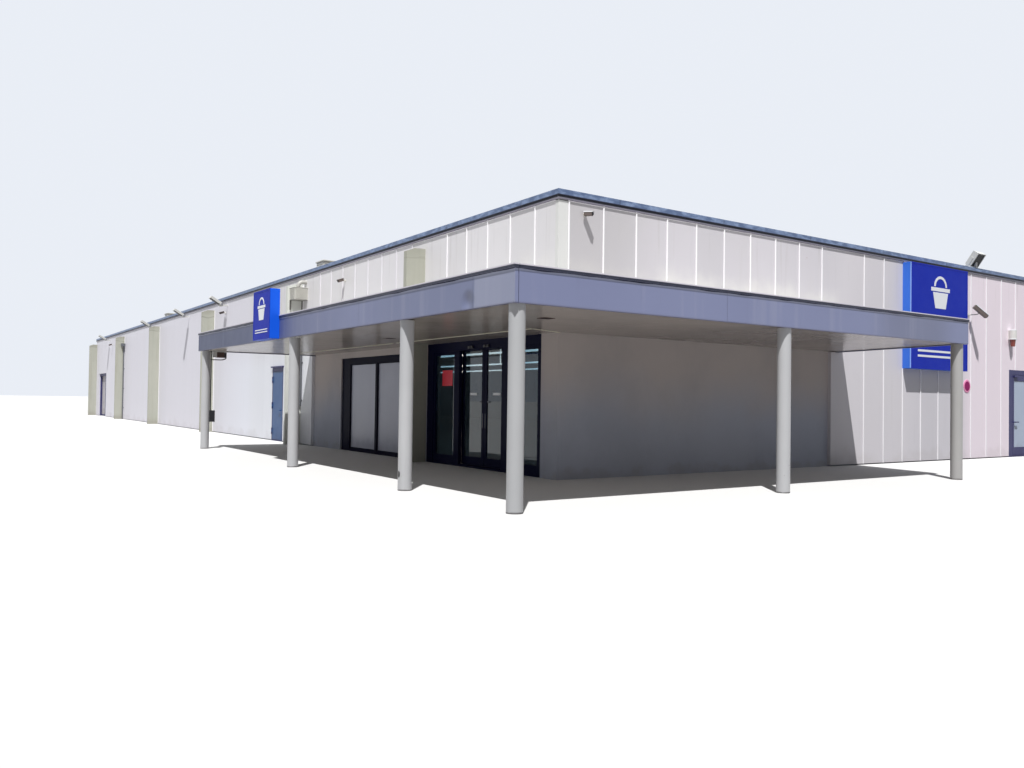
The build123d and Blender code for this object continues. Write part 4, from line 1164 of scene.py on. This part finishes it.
# %% Cooling unit
unit_low, unit_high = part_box("wall_unit")
unit_size = unit_high - unit_low
louvre_low = unit_high.z - 0.165
for name, x, y, run, outward in [
        ("wall_unit_louvres", -0.003, 0.02, (0, unit_size.y - 0.04, 0), (-1, 0, 0)),
        ("wall_unit_front_louvres", 0.02, -0.003, (unit_size.x - 0.04, 0, 0), (0, -1, 0))]:
    bars(name, 9, (unit_low.x + x, unit_low.y + y, louvre_low), (0, 0, 0.018), run, outward,
         0.006, 0.008, fitting_paint)
duct = bmesh.new()
unit_middle = (unit_low + unit_high) / 2
duct_foot = Vector((unit_middle.x - 0.02, unit_middle.y - 0.03, unit_high.z))
bend = [shift(duct_foot, 0, 0, -0.01)]
bend += [shift(duct_foot, 0.07 * (1 - cos(pi * i / 16)), 0, 0.03 + 0.07 * sin(pi * i / 16))
         for i in range(9)]
bend += [(left_low.x, duct_foot.y, unit_high.z + 0.10)]
add_pipe(duct, bend, 0.032, 16)
keep(duct, "wall_unit_duct", duct_paint, smooth=True)
keep_block("wall_unit_lid", (unit_low.x - 0.008, unit_low.y - 0.008, unit_high.z - 0.004),
           shift(unit_high, 0, 0.008, 0.008), 0.006, duct_paint)
print("wall unit", metres(unit_size))

# %% [markdown]
# A brown lamp hangs under the canopy's far end, cradled by a curved strap from the column, and a
# dark switch box sits low on that column with a cable tube running up to the lining.

# %% Canopy-end lamp, strap and switch box
column_side = Vector((corner_column.x + column_radius, wall_corner.y + 6.070, 0.0))
soffit_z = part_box("canopy_soffit")[0].z
lamp_low = Vector((column_side.x + 0.032, canopy_high.y - 0.170, soffit_z - 0.095))
lamp_high = shift(lamp_low, 0.185, 0.060, 0.095)
lamp_back = Vector((lamp_high.x, lamp_low.y, lamp_low.z))
keep_block("canopy_lamp_casing", shift(lamp_low, 0.05, -0.003, -0.003),
           (lamp_high.x - 0.03, lamp_high.y + 0.003, lamp_low.z + 0.075), 0.004, brown_casing)
cradle = bmesh.new()
add_block(cradle, shift(lamp_back, -0.034, -0.004, -0.004), shift(lamp_back, 0.004, 0.064, 0.07), 0.008)
strap = [(column_side.x - 0.004, lamp_low.y + 0.03, lamp_low.z - 0.035)]
strap += [shift(lamp_low, 0.10 + 0.09 * sin(pi * i / 20), 0.03, -0.035 * cos(pi * i / 20))
          for i in range(11)]
add_pipe(cradle, strap, 0.007, 10)
add_block(cradle, shift(column_side, -0.006, -0.030, 0.380), shift(column_side, 0.070, 0.030, 0.545), 0.006)
add_pipe(cradle, [shift(column_side, 0.012, 0, 0.54), shift(column_side, 0.012, 0, soffit_z)], 0.008, 10)
keep(cradle, "canopy_lamp_strap_and_switch_box", dark_plastic)
print("canopy lamp", metres(lamp_low))

# %% [markdown]
# Small things mark the lining of the canopy: two recessed lights and a cream cover strip that runs
# along the entrance side and turns in to the wall's corner.

# %% Recessed lights and cream strip
trim_drop = 0.004
strip_end = Vector((wall_corner.x - 0.410, wall_corner.y, soffit_z))
strip = bmesh.new()
for start_y, end_y in ((-0.15, 2.56), (2.68, 6.10)):
    add_block(strip, shift(strip_end, -0.014, start_y, -trim_drop), shift(strip_end, 0.014, end_y, 0), 0.001)
add_plate(strip, [(-0.012, 0.0), (0.012, 0.0), (0.438, 0.150), (0.414, 0.150)], (1, 0, 0), (0, 1, 0),
          shift(strip_end, 0, -0.15, -trim_drop), (0, 0, 1), trim_drop)
keep(strip, "lining_cream_strip", cream_trim)
recesses, recess_rims = bmesh.new(), bmesh.new()
for x, y in ((1.55, 1.45), (1.72, 7.37)):
    spot = from_real(x, y, 0.0)
    spot.z = soffit_z
    add_block(recesses, shift(spot, -0.050, -0.035, -0.003), shift(spot, 0.050, 0.035, 0), 0.001)
    for side in (-1, 1):
        long_y, short_x = side * 0.038, side * 0.054
        add_block(recess_rims, shift(spot, -0.058, long_y - 0.004, -0.005),
                  shift(spot, 0.058, long_y + 0.004, 0), 0.001)
        add_block(recess_rims, shift(spot, short_x - 0.004, -0.04, -0.005),
                  shift(spot, short_x + 0.004, 0.04, 0), 0.001)
keep(recesses, "recessed_lights", recess_black)
keep(recess_rims, "recessed_light_rims", brown_casing)
print("lining strip at", round(strip_end.x, 3))

# %% [markdown]
# On the front wall a blank round plate hangs under the sign's edge, the siren has a domed lid, and
# the emergency door has a closer box. A grey strip folds round the wall's corner over the canopy.

# %% Plate, siren lid, door closer and corner strip
disc_middle = (wall_corner.x + 7.285, skin_low.y, 1.040)
for name, profile, paint in [
        ("round_plate", [(0.066, -0.009), (0.068, -0.007), (0.068, 0.0)], disc_plum),
        ("round_plate_rim", [(0.088, -0.007), (0.092, -0.005), (0.092, 0.0)], disc_rim)]:
    disc = bmesh.new()
    add_turned(disc, disc_middle, profile, "Y", 40)
    keep(disc, name, paint)
siren_middle = Vector(((siren_low.x + siren_high.x) / 2, siren_low.y + 0.050, siren_high.z))
dome = bmesh.new()
for profile in [
        [(0.051, -0.006), (0.051, 0.0), (0.047, 0.004), (0.030, 0.007), (0.010, 0.008), (0.004, 0.008)],
        [(0.0515, -0.142), (0.0525, -0.138), (0.0525, -0.132), (0.0515, -0.128)]]:
    add_turned(dome, siren_middle, profile, "Z", 32)
keep(dome, "siren_dome", white_vinyl, smooth=True)
keep_block("door_closer", (door_low.x + 0.135, skin_low.y - 0.024, door_high.z - 0.112),
           (door_low.x + 0.250, skin_low.y - 0.001, door_high.z - 0.082), 0.004,
           slate_frame, "emergency_door")
corner = bmesh.new()
fold_thick = 0.003
fold = Vector((left_low.x - fold_thick, skin_low.y, canopy_high.z))
add_block(corner, shift(fold, 0, -fold_thick, 0), (wall_corner.x + 0.066, skin_low.y, joint_top), 0.001)
add_block(corner, fold, (left_low.x, skin_low.y + 0.045, joint_top), 0.001)
keep(corner, "corner_strip", corner_paint)
print("siren dome at", metres(siren_middle))

# %% [markdown]
# The goods door's curtain is a stack of narrow slats that roll up, with a heavier bar at its foot.
# The row of bars makes them, each a rounded ridge with a groove between. Dark beads frame the two
# boards that close the bay beside the entrance.

# %% Shutter slats and closed-bay beads
curtain_low, curtain_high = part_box("roller_shutter")
curtain_run = (0, curtain_high.y - curtain_low.y, 0)
slat_pitch = 0.040
slat_count = int((curtain_high.z - 0.06) / slat_pitch)
bars("shutter_slats", slat_count, (curtain_low.x, curtain_low.y, 0.075), (0, 0, slat_pitch),
     curtain_run, (-1, 0, 0), 0.014, 0.034, shutter_paint, 0.005)
one_bar("shutter_foot", (curtain_low.x, curtain_low.y, 0.030), curtain_run, (-1, 0, 0),
        0.022, 0.048, slate_frame, 0.004)
bay_low, bay_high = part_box("closed_bay_boards")
board_width = (bay_high.y - bay_low.y - 0.060) / 2
board_height = bay_high.z - bay_low.z
bead_inset = 0.006
for name, low_y in (("near_board", bay_low.y), ("far_board", bay_high.y - board_width)):
    board = Vector((bay_low.x - 0.004, low_y, bay_low.z))
    bars(name + "_side_beads", 2, shift(board, 0, bead_inset, 0), (0, board_width - 2 * bead_inset, 0),
         (0, 0, board_height), (-1, 0, 0), 0.010, 0.012, bay_navy)
    bars(name + "_end_beads", 2, shift(board, 0, 0, bead_inset), (0, 0, board_height - 2 * bead_inset),
         (0, board_width, 0), (-1, 0, 0), 0.010, 0.012, bay_navy)
print("slats", slat_count, "board width", round(board_width, 3))

# %% [markdown]
# The rainwater pipes are held by clips. The roof has felt laps across its width, and each vent is a
# box with louvres under a wider lid, so that the top view is as finished as the front.

# %% Pipe clips, roof laps and vent lids
pipe_radius = 0.022
clips = bmesh.new()
for fin_start, levels in ((fin_starts[1], (0.70, 1.30)), (fin_starts[4], (0.35, 0.95, 1.55, 2.10))):
    for level in levels:
        middle = Vector((left_low.x - pipe_radius, wall_corner.y + fin_start - pipe_radius, level))
        add_turned(clips, middle, [(pipe_radius + 0.004, -0.012), (pipe_radius + 0.004, 0.012)], "Z", 20)
        for reach in (-0.030, 0.030):
            ear = Vector((left_low.x, middle.y + reach, level))
            add_block(clips, shift(ear, -0.005, -0.010, -0.012), shift(ear, 0, 0.010, 0.012), 0.001)
keep(clips, "pipe_clips", pipe_zinc)
deck_low, deck_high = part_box("roof_deck")
bars("roof_laps", int(deck_high.y - deck_low.y), (deck_low.x, deck_low.y + 0.7, deck_high.z + 0.002),
     (0, 1.0, 0), (deck_high.x - deck_low.x, 0, 0), (0, 0, 1), 0.006, 0.10, roof_felt)
vent_low, vent_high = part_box("roof_vents")
vents = bmesh.new()
vent_inset = 0.016
lid_low = vent_high.z - 0.024
for distance in (7.035, 18.400):
    low_y, high_y = wall_corner.y + distance - 0.175, wall_corner.y + distance + 0.175
    walls_x = (vent_low.x + vent_inset, vent_high.x - vent_inset)
    walls_y = (low_y + vent_inset, high_y - vent_inset)
    add_block(vents, (walls_x[0], walls_y[0], vent_low.z), (walls_x[1], walls_y[1], lid_low), 0.004)
    add_block(vents, (vent_low.x, low_y, lid_low), (vent_high.x, high_y, vent_high.z), 0.006)
    for index in range(6):
        top = vent_high.z - 0.05 - index * 0.035
        for y in walls_y:
            add_block(vents, (vent_low.x + 0.03, y - 0.006, top - 0.010),
                      (vent_high.x - 0.03, y + 0.006, top), 0.002)
        for x in walls_x:
            add_block(vents, (x - 0.006, low_y + 0.03, top - 0.010), (x + 0.006, high_y - 0.03, top), 0.002)
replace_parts(keep(vents, "roof_vent_boxes", fitting_paint), "roof_vents")
print("vents", metres(vent_low), metres(vent_high))

# %% [markdown]
# Pale lines show behind the entrance panes. They are taken as three long light strips, which hang
# from the roof deck on thin rods, and they give the dark glass its depth.

# %% Hall lights behind the entrance
hall_lights = bmesh.new()
strip_level = 1.348
strip_high = strip_level + 0.022
deck_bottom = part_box("roof_deck")[0].z
for distance in (1.0, 2.9, 4.55):
    light_x = frame_high.x + distance
    add_block(hall_lights, (light_x, wall_corner.y + 0.13, strip_level),
              (light_x + 0.05, frame_high.y + 8.0, strip_high), 0.004)
    for hanger_y in (wall_corner.y + 0.2, frame_high.y + 3.0):
        add_block(hall_lights, (light_x + 0.02, hanger_y, strip_high),
                  (light_x + 0.03, hanger_y + 0.01, deck_bottom))
keep(hall_lights, "hall_light_strips", hall_light)
print("three light strips hang from the roof deck")

# %% [markdown]
# The floor is a plain pale ground, the world a plain pale sky, and one sun with crisp shadows
# stands where the photograph's shadows say: high, out in front of the entrance corner. Floor and
# sky show the camera a paler tone than they give as light, so the background doesn't fill shadows.

# %% Floor, world and sun
floor_mesh = bpy.data.meshes.new("floor")
reach = 300.0
floor_mesh.from_pydata([(-reach, -reach, 0), (reach, -reach, 0), (reach, reach, 0), (-reach, reach, 0)],
                       [], [(0, 1, 2, 3)])
floor = bpy.data.objects.new("floor", floor_mesh)
scene.collection.objects.link(floor)
ground = Surface("pale_ground", roughness=0.9)
pale = ground.blend(ground.noise(0.2, 2.0), tone(206, 205, 203), tone(212, 211, 209))
near_canopy = ground.step(ground.x, wall_corner.x + 5.0, wall_corner.x + 3.0)
as_light = ground.blend(near_canopy, tone(72, 72, 78), tone(154, 152, 152))
ground.colour = ground.blend(ground.seen_directly(), as_light, pale)
floor_mesh.materials.append(ground.finish())

world = bpy.data.worlds.new("studio")
scene.world = world
world.use_nodes = True
sky = Tree(world.node_tree)
backdrop = world.node_tree.nodes["Background"]
strength = sky.node("ShaderNodeMix", {"data_type": "FLOAT"}, {0: sky.seen_directly(), 2: 0.21, 3: 0.92})
world.node_tree.links.new(strength.socket, backdrop.inputs["Strength"])
backdrop.inputs["Color"].default_value = (0.89, 0.93, 1.0, 1.0)

light_travels = Vector((0.8, 1.0, -2.5))
sun_data = bpy.data.lights.new("sun", "SUN")
sun_data.energy = 5.1
sun_data.angle = radians(0.6)
sun = bpy.data.objects.new("sun", sun_data)
sun.rotation_euler = light_travels.to_track_quat("-Z", "Y").to_euler()
scene.collection.objects.link(sun)
scene.view_settings.view_transform = "Standard"
print("sun height in degrees", round(90 - light_travels.angle(Vector((0, 0, -1))) * 180 / pi, 1))
